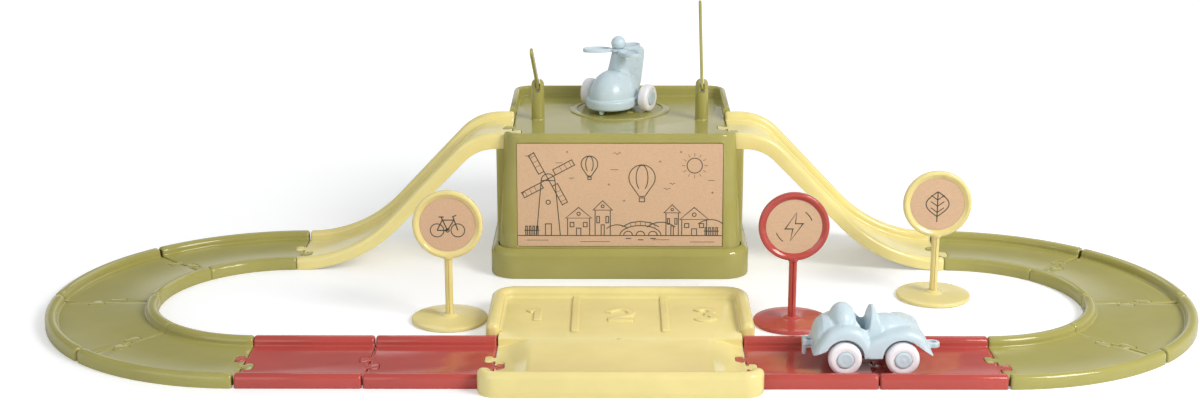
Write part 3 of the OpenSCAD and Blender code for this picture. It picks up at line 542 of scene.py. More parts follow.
def curve_mesh(steps=24):
    """Curve round the origin, from angle 0 to CURVE_ANGLE."""
    margin = degrees((SEAM_HALF + ROAD_NOSE) / CURVE_R)
    stations = []
    for k in range(steps + 1):
        angle = radians(margin + (CURVE_ANGLE - 2 * margin) * k / steps)
        outward = vec(cos(angle), sin(angle), 0)
        stations.append((outward * CURVE_R, outward, vec(0, 0, 1)))
    piece = sweep("curve", level_channel, stations, ROAD_NOSE)
    last = at(turn=CURVE_ANGLE) @ at(CURVE_R, turn=90)
    return with_ends(piece, [last, at(CURVE_R, turn=-90)])


def build_road():
    straight, curve = straight_mesh(), curve_mesh()
    for side, name in ((-1, "left"), (1, "right")):
        for index in range(2):
            x = SEAM_X + index * STRAIGHT if side > 0 else -SEAM_X - (index + 1) * STRAIGHT
            node_name = f"straight_{name}_{index + 1}"
            piece = moved(copy_of(straight, "piece"), at(x, FRONT_Y))
            shown(piece, f"road_{node_name}", "root", red, node_name)
        for index in range(CURVES):
            turn = index * CURVE_ANGLE - 90 if side > 0 else 270 - (index + 1) * CURVE_ANGLE
            node_name = f"curve_{name}_{index + 1}"
            piece = moved(copy_of(curve, "piece"), at(side * LOOP_X, FRONT_Y + CURVE_R, turn=turn))
            shown(piece, f"road_{node_name}", "root", olive, node_name)
    bpy.data.objects.remove(straight)
    bpy.data.objects.remove(curve)


# ---- Ramps: two bends joined by the straight line that touches both ----


def ramp_stations(bend_steps=18):
    """Stations down the right-hand ramp, from the deck's seam at x = 0 to the lower seam."""
    run, total = 2 * STRAIGHT - RAMP_FLAT, RAMP_LOW_R + RAMP_TOP_R
    drop = total - RAMP_RISE
    turn = atan2(total, sqrt(run ** 2 + drop ** 2 - total ** 2)) - atan2(drop, run)
    margin = SEAM_HALF + ROAD_NOSE
    points = [(margin, RAMP_RISE, 0.0)]
    for k in range(bend_steps + 1):
        a = turn * k / bend_steps
        points.append((RAMP_FLAT + RAMP_TOP_R * sin(a), RAMP_RISE - RAMP_TOP_R * (1 - cos(a)), a))
    low_x = 2 * STRAIGHT
    end_angle = asin(margin / RAMP_LOW_R)
    for k in range(bend_steps + 1):
        a = turn + (end_angle - turn) * k / bend_steps
        points.append((low_x - RAMP_LOW_R * sin(a), RAMP_LOW_R * (1 - cos(a)), a))
    return [(vec(x, 0, z), vec(0, -1, 0), vec(sin(a), 0, cos(a))) for x, z, a in points]


def ramp_section(station, inset):
    """Channel whose skirts reach lower towards the deck."""
    return channel(SKIRT_DROP * max(station[0].z, 0) / RAMP_RISE, inset)


def build_ramps():
    piece = sweep("ramp", ramp_section, ramp_stations(), ROAD_NOSE)
    piece = with_ends(piece, [at(2 * STRAIGHT), at(z=RAMP_RISE, turn=180)])
    left = moved(copy_of(piece, "piece"), at(-SEAM_X, BACK_Y, turn=180))
    moved(piece, at(SEAM_X, BACK_Y))
    shown(piece, "ramp_channel_right", "root", pale_yellow, "ramp_right")
    shown(left, "ramp_channel_left", "root", pale_yellow, "ramp_left")


# ---- Parking tray ----

TRAY_FLOOR_Z = 9.0
TRAY_RIM_H = 15.5
TRAY_RIM_W = 9.0
RIM_SOFT = 3.9
RIM_FILLET = 2.6
RIM_NOSE = 3.4
FORE_CORNER_R = 7.5
TRAY_CORNER_R = 16.0
TRAY_SLOPE = 24.0
RIB_RISE = 1.5
RIB_W = 5.0
DIGIT_RISE = 1.3
DIGIT_STEP = 0.04  # between the tops of a number's crossing strokes
DIGIT_H = 27.0
DIGIT_W = 21.0
DIGIT_STROKE = 5.4
DIGIT_PITCH = 57.0
RIB_PITCH = 60.0
RIB_LEN = 70.0
DIGIT_BACK = 31.5


def rim_bar(outwards):
    """Section of the rim, round on top; its outer face looks along outwards."""
    def section(station, inset):
        half, top, soft = TRAY_RIM_W / 2 - inset, TRAY_RIM_H - inset, RIM_SOFT - inset
        ring = rounded([(half - 0.3, 0, 0.3), (half, 3, 0.5), (half, top, soft), (-half, top, soft),
                        (-half, 0, 0.3)], 6)
        return ring if outwards > 0 else [vec(-p.x, p.y) for p in reversed(ring)]
    return section


def rim_fillet(outwards):
    """Section of the soft fillet between the rim's inner face and the parking surface."""
    inner, foot, r = TRAY_RIM_W / 2, TRAY_FLOOR_Z + 0.02, RIM_FILLET
    arc = [(inner + r - r * cos(a), foot + r - r * sin(a)) for a in spaced(0, pi / 2, 6)]
    ring = [(inner - 0.6, foot - 0.5), (inner - 0.6, foot + r)] + arc + [(inner + r, foot - 0.5)]
    return [vec(-outwards * x, z) for x, z in ring]


def rim_path(half_w, low_y, high_y, r, steps=10):
    """Stations along three sides of a rounded rectangle, from low_y round the far side at high_y."""
    way = 1 if high_y > low_y else -1
    stations = [((-half_w, low_y), pi)]
    for corner, start in ((-1, pi), (1, pi / 2)):
        middle = (corner * (half_w - r), high_y - way * r)
        for k in range(steps + 1):
            a = start - pi / 2 * k / steps
            stations.append(((middle[0] + r * cos(a), middle[1] + way * r * sin(a)), a))
    stations.append(((half_w, low_y), 0.0))
    up = vec(0, 0, 1)
    return [(vec(x, y, 0), vec(cos(a), way * sin(a), 0) * -way, up) for (x, y), a in stations]


def tray_floor(half_x, front, back):
    """Plate whose lane slopes down to the road at both ends, as sections carried along X."""
    def section(x):
        into = min(max((abs(x) - (half_x - TRAY_SLOPE)) / TRAY_SLOPE, 0), 1)
        depth = max((TRAY_FLOOR_Z - FLOOR_Z) * (1 - cos(pi * into)) / 2, 0.02)
        soft = min(1.2, depth / 2)
        low = TRAY_FLOOR_Z - depth
        top, under = [(front, TRAY_FLOOR_Z)], [(front, TRAY_FLOOR_Z - SHELL)]
        for side in (-1, 1):
            y = FRONT_Y + side * floor_half
            lip = [(y + side * soft * (1 - sin(a)), TRAY_FLOOR_Z - soft * (1 - cos(a)))
                   for a in spaced(0, pi / 2, 4)]
            heel = [(y - side * soft * (1 - cos(a)), low + soft * (1 - sin(a)))
                    for a in spaced(0, pi / 2, 4)]
            bend = lip + heel if side < 0 else (lip + heel)[::-1]
            top += bend
            under += [(y + side * SHELL, z - SHELL) for y, z in bend]
        top.append((back, TRAY_FLOOR_Z))
        under.append((back, TRAY_FLOOR_Z - SHELL))
        return top + under[::-1]

    count = 16
    xs = [half_x - TRAY_SLOPE * k / count for k in range(count + 1)]
    rings = [[vec(x, y, z) for y, z in section(x)] for x in [-x for x in xs] + xs[::-1]]
    return loft("tray_floor", rings)


def raised_stroke(path, width, base, rise):
    """Rounded bar laid along a path of 2D points at a height."""
    half = width / 2
    r = rise * 0.55
    profile = rounded([(half, -0.4, 0), (half, rise, r), (-half, rise, r), (-half, -0.4, 0)], 4)
    stations = []
    for i, point in enumerate(path):
        before = (point - path[i - 1]).normalized() if i else (path[1] - point).normalized()
        after = (path[i + 1] - point).normalized() if i + 1 < len(path) else before
        along = (before + after).normalized()
        stations.append((vec(point.x, point.y, base), vec(along.y, -along.x, 0), vec(0, 0, 1)))
    return sweep("stroke", profile, stations, rise * 0.8, 5)


def arc_path(x, y, r, start, end, steps=14):
    return [vec(x + r * cos(a), y + r * sin(a)) for a in map(radians, spaced(start, end, steps))]


def digit_strokes():
    """Centre lines of the strokes of the numbers 1, 2 and 3, each number over its own origin."""
    low, high = DIGIT_STROKE / 2, DIGIT_H - DIGIT_STROKE / 2
    half = (DIGIT_W - DIGIT_STROKE) / 2
    bowl = (high - low) / 4
    one = [[(-0.55 * half, high - 4.5), (0.2 * half, high)], [(0.2 * half, high), (0.2 * half, low)]]
    two = [arc_path(0, high - half, half, 165, -38) + [(-half + 1, low + 1)],
           [(-half + 0.4, low), (half, low)]]
    three = [arc_path(0, high - bowl, bowl, 150, -80), arc_path(0, low + bowl, bowl + 0.6, 80, -150)]
    return [one, two, three]


def build_tray():
    low, high = mm_box("parking_tray")
    half_w = SEAM_X - 0.6 + TRAY_RIM_W / 2
    front, back = low.y + TRAY_RIM_W / 2, high.y - TRAY_RIM_W / 2
    opening = ROAD_W / 2 + SEAM_HALF
    path_r = TRAY_CORNER_R - TRAY_RIM_W / 2
    rear_path = rim_path(half_w, FRONT_Y + opening + RIM_NOSE, back, path_r)
    fore_path = rim_path(half_w, FRONT_Y - opening - RIM_NOSE, front, FORE_CORNER_R)
    floor = tray_floor(SEAM_X - SEAM_HALF, front, back)
    tray = with_ends(floor, [at(SEAM_X, FRONT_Y), at(-SEAM_X, FRONT_Y, turn=180)])
    parts = []
    for path, outwards in ((rear_path, -1), (fore_path, 1)):
        parts.append(sweep("rim", rim_bar(outwards), path, RIM_NOSE, 6))
        parts.append(sweep("fillet", rim_fillet(outwards), path))
    rib_top = back - 3
    for side in (-1, 1):
        x = side * RIB_PITCH / 2
        parts.append(raised_stroke([vec(x, high.y - TRAY_RIM_W - RIB_LEN + 1.5), vec(x, rib_top)],
                                   RIB_W, TRAY_FLOOR_Z, RIB_RISE))
    digits_y = high.y - DIGIT_BACK - DIGIT_H
    for strokes, x in zip(digit_strokes(), (-DIGIT_PITCH, 0, DIGIT_PITCH)):
        for order, path in enumerate(strokes):
            path = [Vector(p) + vec(x, digits_y) for p in path]
            parts.append(raised_stroke(path, DIGIT_STROKE, TRAY_FLOOR_Z, DIGIT_RISE - DIGIT_STEP * order))
    mark = lathe("mark", [(0, 8.5), (1.8, 8.5), (1.8, 9.2), (1.4, 9.5), (0.8, 9.3), (0, 9.25)], 20)
    parts.append(moved(mark, at(0, FRONT_Y + floor_half - 1)))
    tray = joined("tray", [tray] + parts)
    shown(tray, "tray_moulding", "root", yellow, "parking_tray")


# ---- Garage box ----

BOX_LEAN = 4.5
BOX_CORNER_R = 13.0
BOX_WALL = 3.0
DECK_RIM_H = 8.5
DECK_RIM_W = 4.6
BASE_WALL = 6.0
BASE_FLOOR_T = 3.0
BASE_SHOULDER_R = 5.0
PILASTER_SIDE = 10.0
PILASTER_TOP = RAMP_RISE - SKIRT_DROP
LABEL_W = 148.6
LABEL_H = 76.0
LABEL_UP = 1.5
LABEL_SINK = 0.3
LABEL_T = 0.8
PAD_R = 39.0
PAD_RING_W = 5.6
PAD_RISE = 0.7
PAD_STEP = 0.02
PAD_BACK = 30.7

base_low, base_high = mm_box("box_base")
BASE_H = base_high.z
BOX_TOP = DECK_Z + DECK_RIM_H
BOX_MID_Y = (base_low.y + base_high.y) / 2
BOX_HALF_W = base_high.x - BASE_WALL
BOX_HALF_D = (base_high.y - base_low.y) / 2 - BASE_WALL
BOX_FRONT_Y = base_low.y + BASE_WALL
LEAN_ANGLE = atan(BOX_LEAN / (BOX_TOP - BASE_H))
PAD_Y = BACK_Y + ROAD_W / 2 + PAD_BACK
# Leaning front face of the box: x across, z up along the face, y into it
FRONT_FACE = tipped(-LEAN_ANGLE, "X", 0, BOX_FRONT_Y, BASE_H)


def box_ring(inset, z):
    lean = BOX_LEAN * max(z - BASE_H, 0) / (BOX_TOP - BASE_H)
    outline = round_rect(2 * (BOX_HALF_W - lean - inset), 2 * (BOX_HALF_D - lean - inset),
                         max(BOX_CORNER_R - inset, 2), 8)
    return [vec(p.x, p.y + BOX_MID_Y, z) for p in outline]


def quarter(x, z, r, start, steps=5):
    """Points of a quarter circle, as (x, z), counter-clockwise from an angle in degrees."""
    return [(x + r * cos(a), z + r * sin(a)) for a in map(radians, spaced(start, start + 90, steps))]


def opening_cutter(side):
    """Room in the rim and the wall for a ramp's end; the rim's ends are left rounded above it."""
    half, soft = ROAD_W / 2 + SEAM_HALF, 2.6
    shoulder = [(half + soft + soft * cos(a), BOX_TOP - soft + soft * sin(a))
                for a in (pi - pi / 2 * k / 5 for k in range(6))]
    outer = [vec(-half, DECK_Z), vec(half, DECK_Z)]
    outer += [Vector(p) for p in shoulder] + [vec(half + soft, BOX_TOP + 5), vec(-half - soft, BOX_TOP + 5)]
    outer += [vec(-x, z) for x, z in reversed(shoulder)]
    low = [vec(-half, PILASTER_TOP), vec(half, PILASTER_TOP), vec(half, DECK_Z + 1), vec(-half, DECK_Z + 1)]
    return [loft("cutter", [[vec(side * x, BACK_Y + p.x, p.y) for p in outline]
                            for x in (start, SEAM_X + 20)])
            for outline, start in ((outer, SEAM_X - 8), (low, SEAM_X - SEAM_HALF))]


def helipad():
    """Raised ring with the letter H in it."""
    section = rectangle(PAD_R - PAD_RING_W, -0.4, PAD_R, PAD_RISE, 0, 0.3, 3)
    rings = [[vec(p.x * cos(a), p.x * sin(a), p.y) for p in section] for a in turns(96)]
    parts = [loft("ring", rings, closed=True)]
    tall, wide, stroke = 12.75, 7.75, 4.5
    bars = (((-wide, -tall), (-wide, tall)), ((wide, -tall), (wide, tall)), ((-wide, 0), (wide, 0)))
    for order, line in enumerate(bars):
        parts.append(raised_stroke([Vector(p) for p in line], stroke, 0, PAD_RISE - PAD_STEP * order))
    return moved(joined("pad", parts), at(0, PAD_Y, DECK_Z))


def build_box():
    under = DECK_Z - SHELL
    profile = [(BOX_WALL, under), (BOX_WALL, BASE_FLOOR_T), (0, BASE_FLOOR_T), (0, BASE_H)]
    top_r = DECK_RIM_W / 2
    profile += [(top_r - x, z) for x, z in quarter(0, BOX_TOP - top_r, top_r, 0)]
    profile += [(top_r - x, z) for x, z in quarter(0, BOX_TOP - top_r, top_r, 90)][1:]
    soft = 1.5
    profile += [(DECK_RIM_W + soft - x, DECK_Z + soft + z) for x, z in
                [(soft * cos(a), -soft * sin(a)) for a in spaced(0, pi / 2, 4)]]
    body = loft("garage", [box_ring(inset, z) for inset, z in profile])
    pilasters, cutters = [], []
    for side in (-1, 1):
        cutters += opening_cutter(side)
        pilaster = prism("pilaster", round_rect(30, ROAD_W, 1.6), BASE_H + 0.3, PILASTER_TOP, 0.8)
        pilasters.append(moved(pilaster, at(side * (SEAM_X + PILASTER_SIDE - 15), BACK_Y)))
    for cutter in cutters:
        minus(body, cutter)
    plus(body, *pilasters)
    half_w, low, high = LABEL_W / 2 + 0.5, LABEL_UP - 0.5, LABEL_UP + LABEL_H + 0.5
    recess = rectangle(-half_w, low, half_w, high, 1.0, 1.0)
    depth = LABEL_SINK + LABEL_T
    wider = grown(recess, 0.5)
    rings = [[FRONT_FACE @ vec(p.x, y, p.y) for p in outline]
             for outline, y in ((wider, -1), (wider, -0.01), (recess, 0.4), (recess, depth))]
    minus(body, loft("recess", rings))
    body = with_ends(body, [at(SEAM_X, BACK_Y), at(-SEAM_X, BACK_Y, turn=180)], DECK_Z)
    body = joined("garage", [body, helipad()])
    shown(body, "garage_body", "root", olive, "box_body")


def build_base():
    outer_w, outer_d = 2 * base_high.x, base_high.y - base_low.y
    r = BASE_SHOULDER_R
    inner = BASE_WALL - 0.5
    profile = [(1.2, 0), (0.4, 0.3), (0, 1.2)]
    profile += [(r - x, z) for x, z in quarter(0, BASE_H - r, r, 0, 7)]
    profile += [(inner - 0.3, BASE_H), (inner, BASE_H - 0.4), (inner, BASE_FLOOR_T)]
    rings = []
    for inset, z in profile:
        outline = round_rect(outer_w - 2 * inset, outer_d - 2 * inset, BOX_CORNER_R + BASE_WALL - inset, 10)
        rings.append([vec(p.x, p.y + BOX_MID_Y, z) for p in outline])
    shown(loft("base", rings), "garage_base", "root", olive, "box_base")


# ---- Printed line work: thin solid ribbons a hair proud of the card ----

INK_W = 0.68
FINE_INK_W = 0.34
RUNG_W = 0.3
INK_RISE = 0.05
INK_DEPTH = 0.03


def ribbon(path, width=INK_W, closed=False):
    """Ribbon along 2D points in the x-z plane, from y = INK_DEPTH to y = -INK_RISE."""
    path = [Vector(p) for p in path]
    n = len(path)
    rings = []
    for i, point in enumerate(path):
        last = path[i - 1] if i or closed else None
        after = path[(i + 1) % n] if i + 1 < n or closed else None
        into = (point - last).normalized() if last else (after - point).normalized()
        out = (after - point).normalized() if after else into
        side = vec(into.y + out.y, -into.x - out.x)
        side *= width / 2 / max(1 + into.dot(out), 0.4)
        low, high = point + side, point - side
        rings.append([vec(low.x, INK_DEPTH, low.y), vec(high.x, INK_DEPTH, high.y),
                      vec(high.x, -INK_RISE, high.y), vec(low.x, -INK_RISE, low.y)])
    return loft("ink", rings, closed)


def ink_ring(x, z, r, steps=28):
    return ribbon(circle(r, steps, x, z), closed=True)


def ink_arc(x, z, r, start, end, steps=16):
    return ribbon(arc_path(x, z, r, start, end, steps))


def ink_box(x, z, w, h):
    return ribbon([(x - w / 2, z), (x + w / 2, z), (x + w / 2, z + h), (x - w / 2, z + h)], closed=True)


def ink_house(x, z, w, h, roof):
    """Front of a house with a pitched roof, a door and two windows."""
    parts = [ribbon([(x + side * w / 2, z), (x + side * w / 2, z + h)]) for side in (-1, 1)]
    eaves = [(x - w / 2 - 1.5, z + h), (x, z + h + roof), (x + w / 2 + 1.5, z + h)]
    parts.append(ribbon(eaves, closed=True))
    parts.append(ink_box(x, z, w * 0.2, h * 0.42))
    for side in (-1, 1):
        parts.append(ink_box(x + side * w * 0.3, z + h * 0.5, w * 0.17, h * 0.25))
    parts.append(ink_ring(x, z + h + roof * 0.4, roof * 0.15, 14))
    return parts


def ink_windmill(x, z, h):
    """Tapering tower with a round cap and four latticed sails."""
    cap_z, cap_r = z + h * 0.66, h * 0.08
    parts = [ribbon([(x + side * h * 0.14, z), (x + side * cap_r, cap_z)]) for side in (-1, 1)]
    parts += [ink_arc(x, cap_z, cap_r, 0, 180), ribbon([(x - cap_r, cap_z), (x + cap_r, cap_z)]),
              ink_box(x, z, h * 0.07, h * 0.14), ink_ring(x, z + h * 0.4, h * 0.025, 12)]
    hub = vec(x, z + h * 0.68)
    for k in range(4):
        a = radians(28 + 90 * k)
        along, side = vec(cos(a), sin(a)), vec(-sin(a), cos(a))
        parts.append(ribbon([hub, hub + along * h * 0.36]))
        near, far = hub + along * h * 0.1, hub + along * h * 0.35
        parts.append(ribbon([near, near + side * h * 0.07, far + side * h * 0.07, far]))
        for share in (0.35, 0.6, 0.85):
            rung = near + (far - near) * share
            parts.append(ribbon([rung, rung + side * h * 0.07], RUNG_W))
    return parts


def ink_balloon(x, z, r):
    """Hot-air balloon: envelope with two gores, ropes and a basket."""
    parts = [ink_arc(x, z, r, -35, 215, 26)]
    foot = z - r * 1.45
    for side in (-1, 1):
        edge = (x + side * r * cos(radians(35)), z - r * sin(radians(35)))
        parts.append(ribbon([edge, (x + side * r * 0.22, foot)]))
        parts.append(ribbon([(x + side * r * 0.45 * cos(t), z + r * 0.98 * sin(t))
                             for t in (radians(-60 + 150 * k / 14) for k in range(15))]))
    parts.append(ribbon([(x - r * 0.22, foot), (x + r * 0.22, foot)]))
    parts.append(ink_box(x, foot - r * 0.42, r * 0.4, r * 0.3))
    return parts


def ink_bird(x, z, w):
    return [ribbon([(x - w, z + w * 0.35), (x - w * 0.45, z + w * 0.5), (x, z), (x + w * 0.45, z + w * 0.5),
                    (x + w, z + w * 0.35)], FINE_INK_W)]


def ink_star(x, z, r):
    return [ribbon([(x - r, z), (x + r, z)], FINE_INK_W), ribbon([(x, z - r), (x, z + r)], FINE_INK_W)]


def label_scene():
    """Generic village in line work: houses, a windmill, a bridge over water, hills, balloons and a sun."""
    ground = 8.0
    edge = LABEL_W / 2
    parts = [ribbon([(-edge, ground), (edge, ground)])]
    parts += ink_windmill(-52, ground, 62)
    parts += ink_house(-30, ground, 16, 13, 8) + ink_house(-12.5, ground, 11, 19, 7)
    parts += ink_house(54, ground, 18, 12, 9) + ink_house(38, ground, 9, 17, 6)
    for x, w in ((-64, 7), (66.5, 6)):
        for k in range(4):
            parts.append(ink_box(x + (k - 1.5) * 2.6, ground, 1.2, w))
        parts.append(ribbon([(x - 5.5, ground + w * 0.55), (x + 5.5, ground + w * 0.55)]))
    for k, x in enumerate((6, 15, 24)):
        parts.append(ink_arc(x, ground, 3.2, 0, 180, 12))
        parts.append(ribbon([(x - 1.8, ground - 2.2 - k % 2), (x + 2.2, ground - 2.2 - k % 2)]))
    parts.append(ribbon([(15 + 15 * cos(a), ground + 7.5 * sin(a))
                         for a in spaced(0, pi, 18)]))
    for k in range(7):
        x = 4.5 + 3.5 * k
        rise = 7.5 * sqrt(1 - ((x - 15) / 15) ** 2)
        parts.append(ribbon([(x, ground + rise), (x, ground + rise + 3)], FINE_INK_W))
    parts.append(ribbon([(1.5, ground + 6.5), (8, ground + 9.7), (15, ground + 10.6), (22, ground + 9.7),
                         (28.5, ground + 6.5)]))
    for x, r, lift in ((-2, 12, -4), (30, 16, -6), (66, 14, -2)):
        start = degrees(asin(min(-lift / r, 1)))
        parts.append(ink_arc(x, ground + lift, r, max(start, 50), min(180 - start, 130), 10))
    parts += ink_balloon(16, 51, 9.5) + ink_balloon(-22, 61, 6)
    sun = (54, 60)
    parts.append(ink_ring(*sun, 5.5))
    for k in range(12):
        a = pi / 6 * k
        parts.append(ribbon([(sun[0] + 7 * cos(a), sun[1] + 7 * sin(a)),
                             (sun[0] + 9.3 * cos(a), sun[1] + 9.3 * sin(a))], FINE_INK_W))
    for x, z, w in ((-2, 68, 3), (34, 42, 2.4), (38, 46, 2), (-66, 66, 2.6), (-35, 50, 2)):
        parts += ink_bird(x, z, w)
    for x, z in ((-70, 40), (-8, 46), (44, 70), (67, 40), (3, 34), (29, 63), (-38, 70)):
        parts += ink_star(x, z, 0.9)
    for x, z, w in ((-60, 4.5, 16), (-18, 3.4, 22), (30, 4.8, 12), (60, 3.2, 18), (-4, 57, 6), (66, 49, 5),
                    (-44, 62, 5)):
        parts.append(ribbon([(x - w / 2, z), (x + w / 2, z)], FINE_INK_W))
    return joined("label_lines", parts)


def build_label():
    dress(frame["nodes"]["box_label"], kraft)
    lines = label_scene()
    moved(lines, FRONT_FACE @ at(0, LABEL_SINK, LABEL_UP))
    shown(lines, "label_line_work", "root", dark_ink)


# ---- Barriers ----

POST_R = 5.0
POST_H = 31.8
FORK_GAP = 3.2
FORK_DEPTH = 10.6
PIN_R = 1.25
ARM_LEN = 65.0
ARM_W = 6.0
ARM_T = 2.2
EYE_R = 4.3
ARM_LEAN = 2.0


def joint_at(name):
    """Where a joint lies, in millimetres."""
    return Vector(next(j["pos_m"] for j in frame["joints"] if j["name"] == name)) / MM


def post_mesh(pin_z):
    """Post with a round head, a fork and pin holes, on a small foot ring."""
    profile = [(0, -0.5), (5.3, -0.5), (5.3, 0.5), (5.05, 0.9), (4.85, 1.1), (5, 1.5)]
    head = POST_H - POST_R
    profile += [(4.85, head - 2)]
    profile += [(4.85 * cos(a), head + POST_R * sin(a))
                for a in (pi / 2 * k / 10 for k in range(10))] + [(0, POST_H)]
    post = lathe("post", profile, 48)
    half, soft = FORK_GAP / 2, 0.7
    low = POST_H - FORK_DEPTH + 0.5
    slot = rounded([(half, low, 0.8), (half, POST_H + 4, 0), (-half, POST_H + 4, 0), (-half, low, 0.8)])
    wide = rounded([(half + soft, low, 0.8), (half + soft, POST_H + 4, 0), (-half - soft, POST_H + 4, 0),
                    (-half - soft, low, 0.8)])
    sections = [(wide, -6), (wide, -POST_R), (slot, -3.6), (slot, 3.6), (wide, POST_R), (wide, 6)]
    hole = moved(rod("hole", -9, 9, PIN_R, 20), tipped(pi / 2, "Y", z=pin_z))
    minus(post, side_loft("slot", sections))
    return minus(post, hole)


def arm_mesh():
    """Arm upright from its pin and leaning a little in x: an eye, a flat bar and a round tip."""
    half = ARM_W / 2
    start = acos(half / EYE_R)
    tip = ARM_LEN - half
    outline = [vec(half * cos(a), tip + half * sin(a)) for a in spaced(0, pi, 10)]
    outline += [vec(EYE_R * cos(a), EYE_R * sin(a))
                for a in (pi - start + (pi + 2 * start) * k / 20 for k in range(21))]
    soft = 0.7
    rings = []
    for side in (-1, 1):
        for k in range(4):
            a = pi / 2 * (k if side < 0 else 3 - k) / 3
            inset = soft * (1 - sin(a))
            x = side * (ARM_T / 2 - soft + soft * cos(a))
            rings.append([vec(x, p.x, p.y) for p in grown(outline, -inset)])
    arm = loft("arm", rings)
    hole = moved(rod("hole", -4, 4, PIN_R + 0.06, 20), tipped(pi / 2, "Y"))
    minus(arm, hole)
    return moved(arm, tipped(radians(-ARM_LEAN), "Y"))


def build_barriers():
    for side in ("left", "right"):
        hinge = joint_at(f"arm_{side}_hinge")
        post = moved(post_mesh(hinge.z - DECK_Z), at(hinge.x, hinge.y, DECK_Z))
        shown(post, f"barrier_{side}_post", "root", olive, f"barrier_post_{side}")
        low, high = mm_box(f"barrier_arm_{side}")
        drop = atan2(hinge.y - low.y - ARM_W / 2, high.z - hinge.z - ARM_W / 2) if side == "left" else 0
        place = Matrix.Translation(hinge) @ Matrix.Rotation(drop, 4, "X")
        shown(moved(arm_mesh(), place), f"barrier_{side}_arm", f"barrier_arm_{side}", olive,
              f"barrier_arm_{side}")
        dress(frame["nodes"][f"barrier_pin_{side}"], olive)


# ---- Signs ----

BOSS_H = 5.2
POLE_R = 2.75
ICON_W = 0.78
HEAD_Z = 68.5
HEAD_R = 23.8
HEAD_T = 4.6
CARD_R = 18.8
CARD_FACE = 0.9


def sign_foot_mesh():
    profile = [(0, 0), (24.6, 0), (25.0, 0.1)] + quarter(25.0, 1.1, 1.0, -90, 4)[1:]
    profile += quarter(25.0, 1.9, 1.0, 0, 4)
    profile += [(20, 3.1), (14, 3.35), (8, 3.7), (6.0, 3.95), (5.2, 4.4), (4.8, 4.9), (4.4, BOSS_H),
                (0, BOSS_H)]
    return lathe("foot", profile, 96)


def pole_outline():
    """Round pole with four shallow grooves along it."""
    points = []
    for a in turns(48):
        groove = max(0.0, cos(4 * a)) ** 16
        points.append(vec((POLE_R - 0.8 * groove) * cos(a), (POLE_R - 0.8 * groove) * sin(a)))
    return points


def sign_head_mesh():
    half, soft = HEAD_T / 2, 1.5
    profile = [(0, -half)] + quarter(HEAD_R - soft, -half + soft, soft, -90)
    profile += quarter(HEAD_R - soft, half - soft, soft, 0)
    profile += [(21.6, half), (21.2, half - 0.1), (20.9, half - 0.4), (CARD_R + 0.5, CARD_FACE + 0.15),
                (CARD_R + 0.15, CARD_FACE), (CARD_R + 0.15, 0.3), (0, 0.3)]
    disc = moved(lathe("head", profile, 96), tipped(pi / 2, "X", 0, 0, HEAD_Z))
    top = HEAD_Z - HEAD_R + 2.2
    pole = loft("pole", [at_height(pole_outline(), z) for z in (BOSS_H - 1, top)])
    collar = lathe("collar", [(0, 0), (3.4, 0), (3.9, 1.0), (4.0, 2.2), (0, 3.2)], 32)
    moved(collar, at(z=top - 2.6))
    return joined("sign_head", [disc, pole, collar])


def bicycle_icon():
    wheels = [ink_ring(-7, -4, 4.6), ink_ring(7, -4, 4.6)]
    frame_lines = [[(-7, -4), (-3.4, 3.2), (4.4, 3.2), (0, -4), (-7, -4)], [(0, -4), (-4, 5.2)],
                   [(7, -4), (3.8, 5.6), (6.2, 6.6)], [(-5.8, 5.4), (-2.4, 5.4)]]
    return wheels + [ribbon(line, ICON_W) for line in frame_lines] + [ink_ring(0, -4, 1.2, 14)]


def bolt_icon():
    bolt = [(1.5, 10), (-6, -1.5), (-0.8, -1.5), (-2.4, -10), (6, 2.2), (0.8, 2.2)]
    marks = [ink_arc(0, 0, 12.5, 20, 55, 8), ink_arc(0, 0, 12.5, 200, 235, 8)]
    return [ribbon(bolt, ICON_W, closed=True)] + marks


def leaf_icon():
    edge = [(8 * sin(pi * k / 16), -9 + 18 * k / 16) for k in range(17)]
    other = [(-x, z) for x, z in edge]
    veins = [[(0, z), (side * 4.6, z + 3.4)] for z in (-6, -1.5, 3) for side in (-1, 1)]
    lines = [ribbon(edge, ICON_W), ribbon(other, ICON_W), ribbon([(0, -13), (0, 8.5)], ICON_W)]
    return lines + [ribbon(vein) for vein in veins]


def build_signs():
    icons = {"left": bicycle_icon, "middle": bolt_icon, "right": leaf_icon}
    for name, icon in icons.items():
        tint = red if name == "middle" else yellow
        foot = mm_middle(f"sign_foot_{name}")
        place = at(foot.x, foot.y)
        body = f"sign_{name}"
        shown(moved(sign_foot_mesh(), place), f"sign_{name}_foot", body, tint, f"sign_foot_{name}")
        shown(moved(sign_head_mesh(), place), f"sign_{name}_head", body, tint, f"sign_head_{name}")
        dress(frame["nodes"][f"sign_card_{name}"], kraft)
        lines = moved(joined("icon", icon()), place @ at(0, -CARD_FACE, HEAD_Z))
        shown(lines, f"sign_{name}_icon", body, dark_ink)


# ---- Wheels: each lies along +Z from its inner face ----

WHEEL_R = 10.5
WHEEL_W = 8.0


def wheel_mesh():
    soft = 2.6
    profile = [(0, 0.4), (7.2, 0.4), (7.6, 0)]
    profile += quarter(WHEEL_R - soft, soft, soft, -90, 7)
    profile += quarter(WHEEL_R - soft, WHEEL_W - soft, soft, 0, 7)
    profile += [(6.7, WHEEL_W - 0.15), (5.9, WHEEL_W - 0.25), (5.6, WHEEL_W - 0.5), (5.5, WHEEL_W - 1.0),
                (0, WHEEL_W - 1.0)]
    return lathe("wheel", profile, 72)


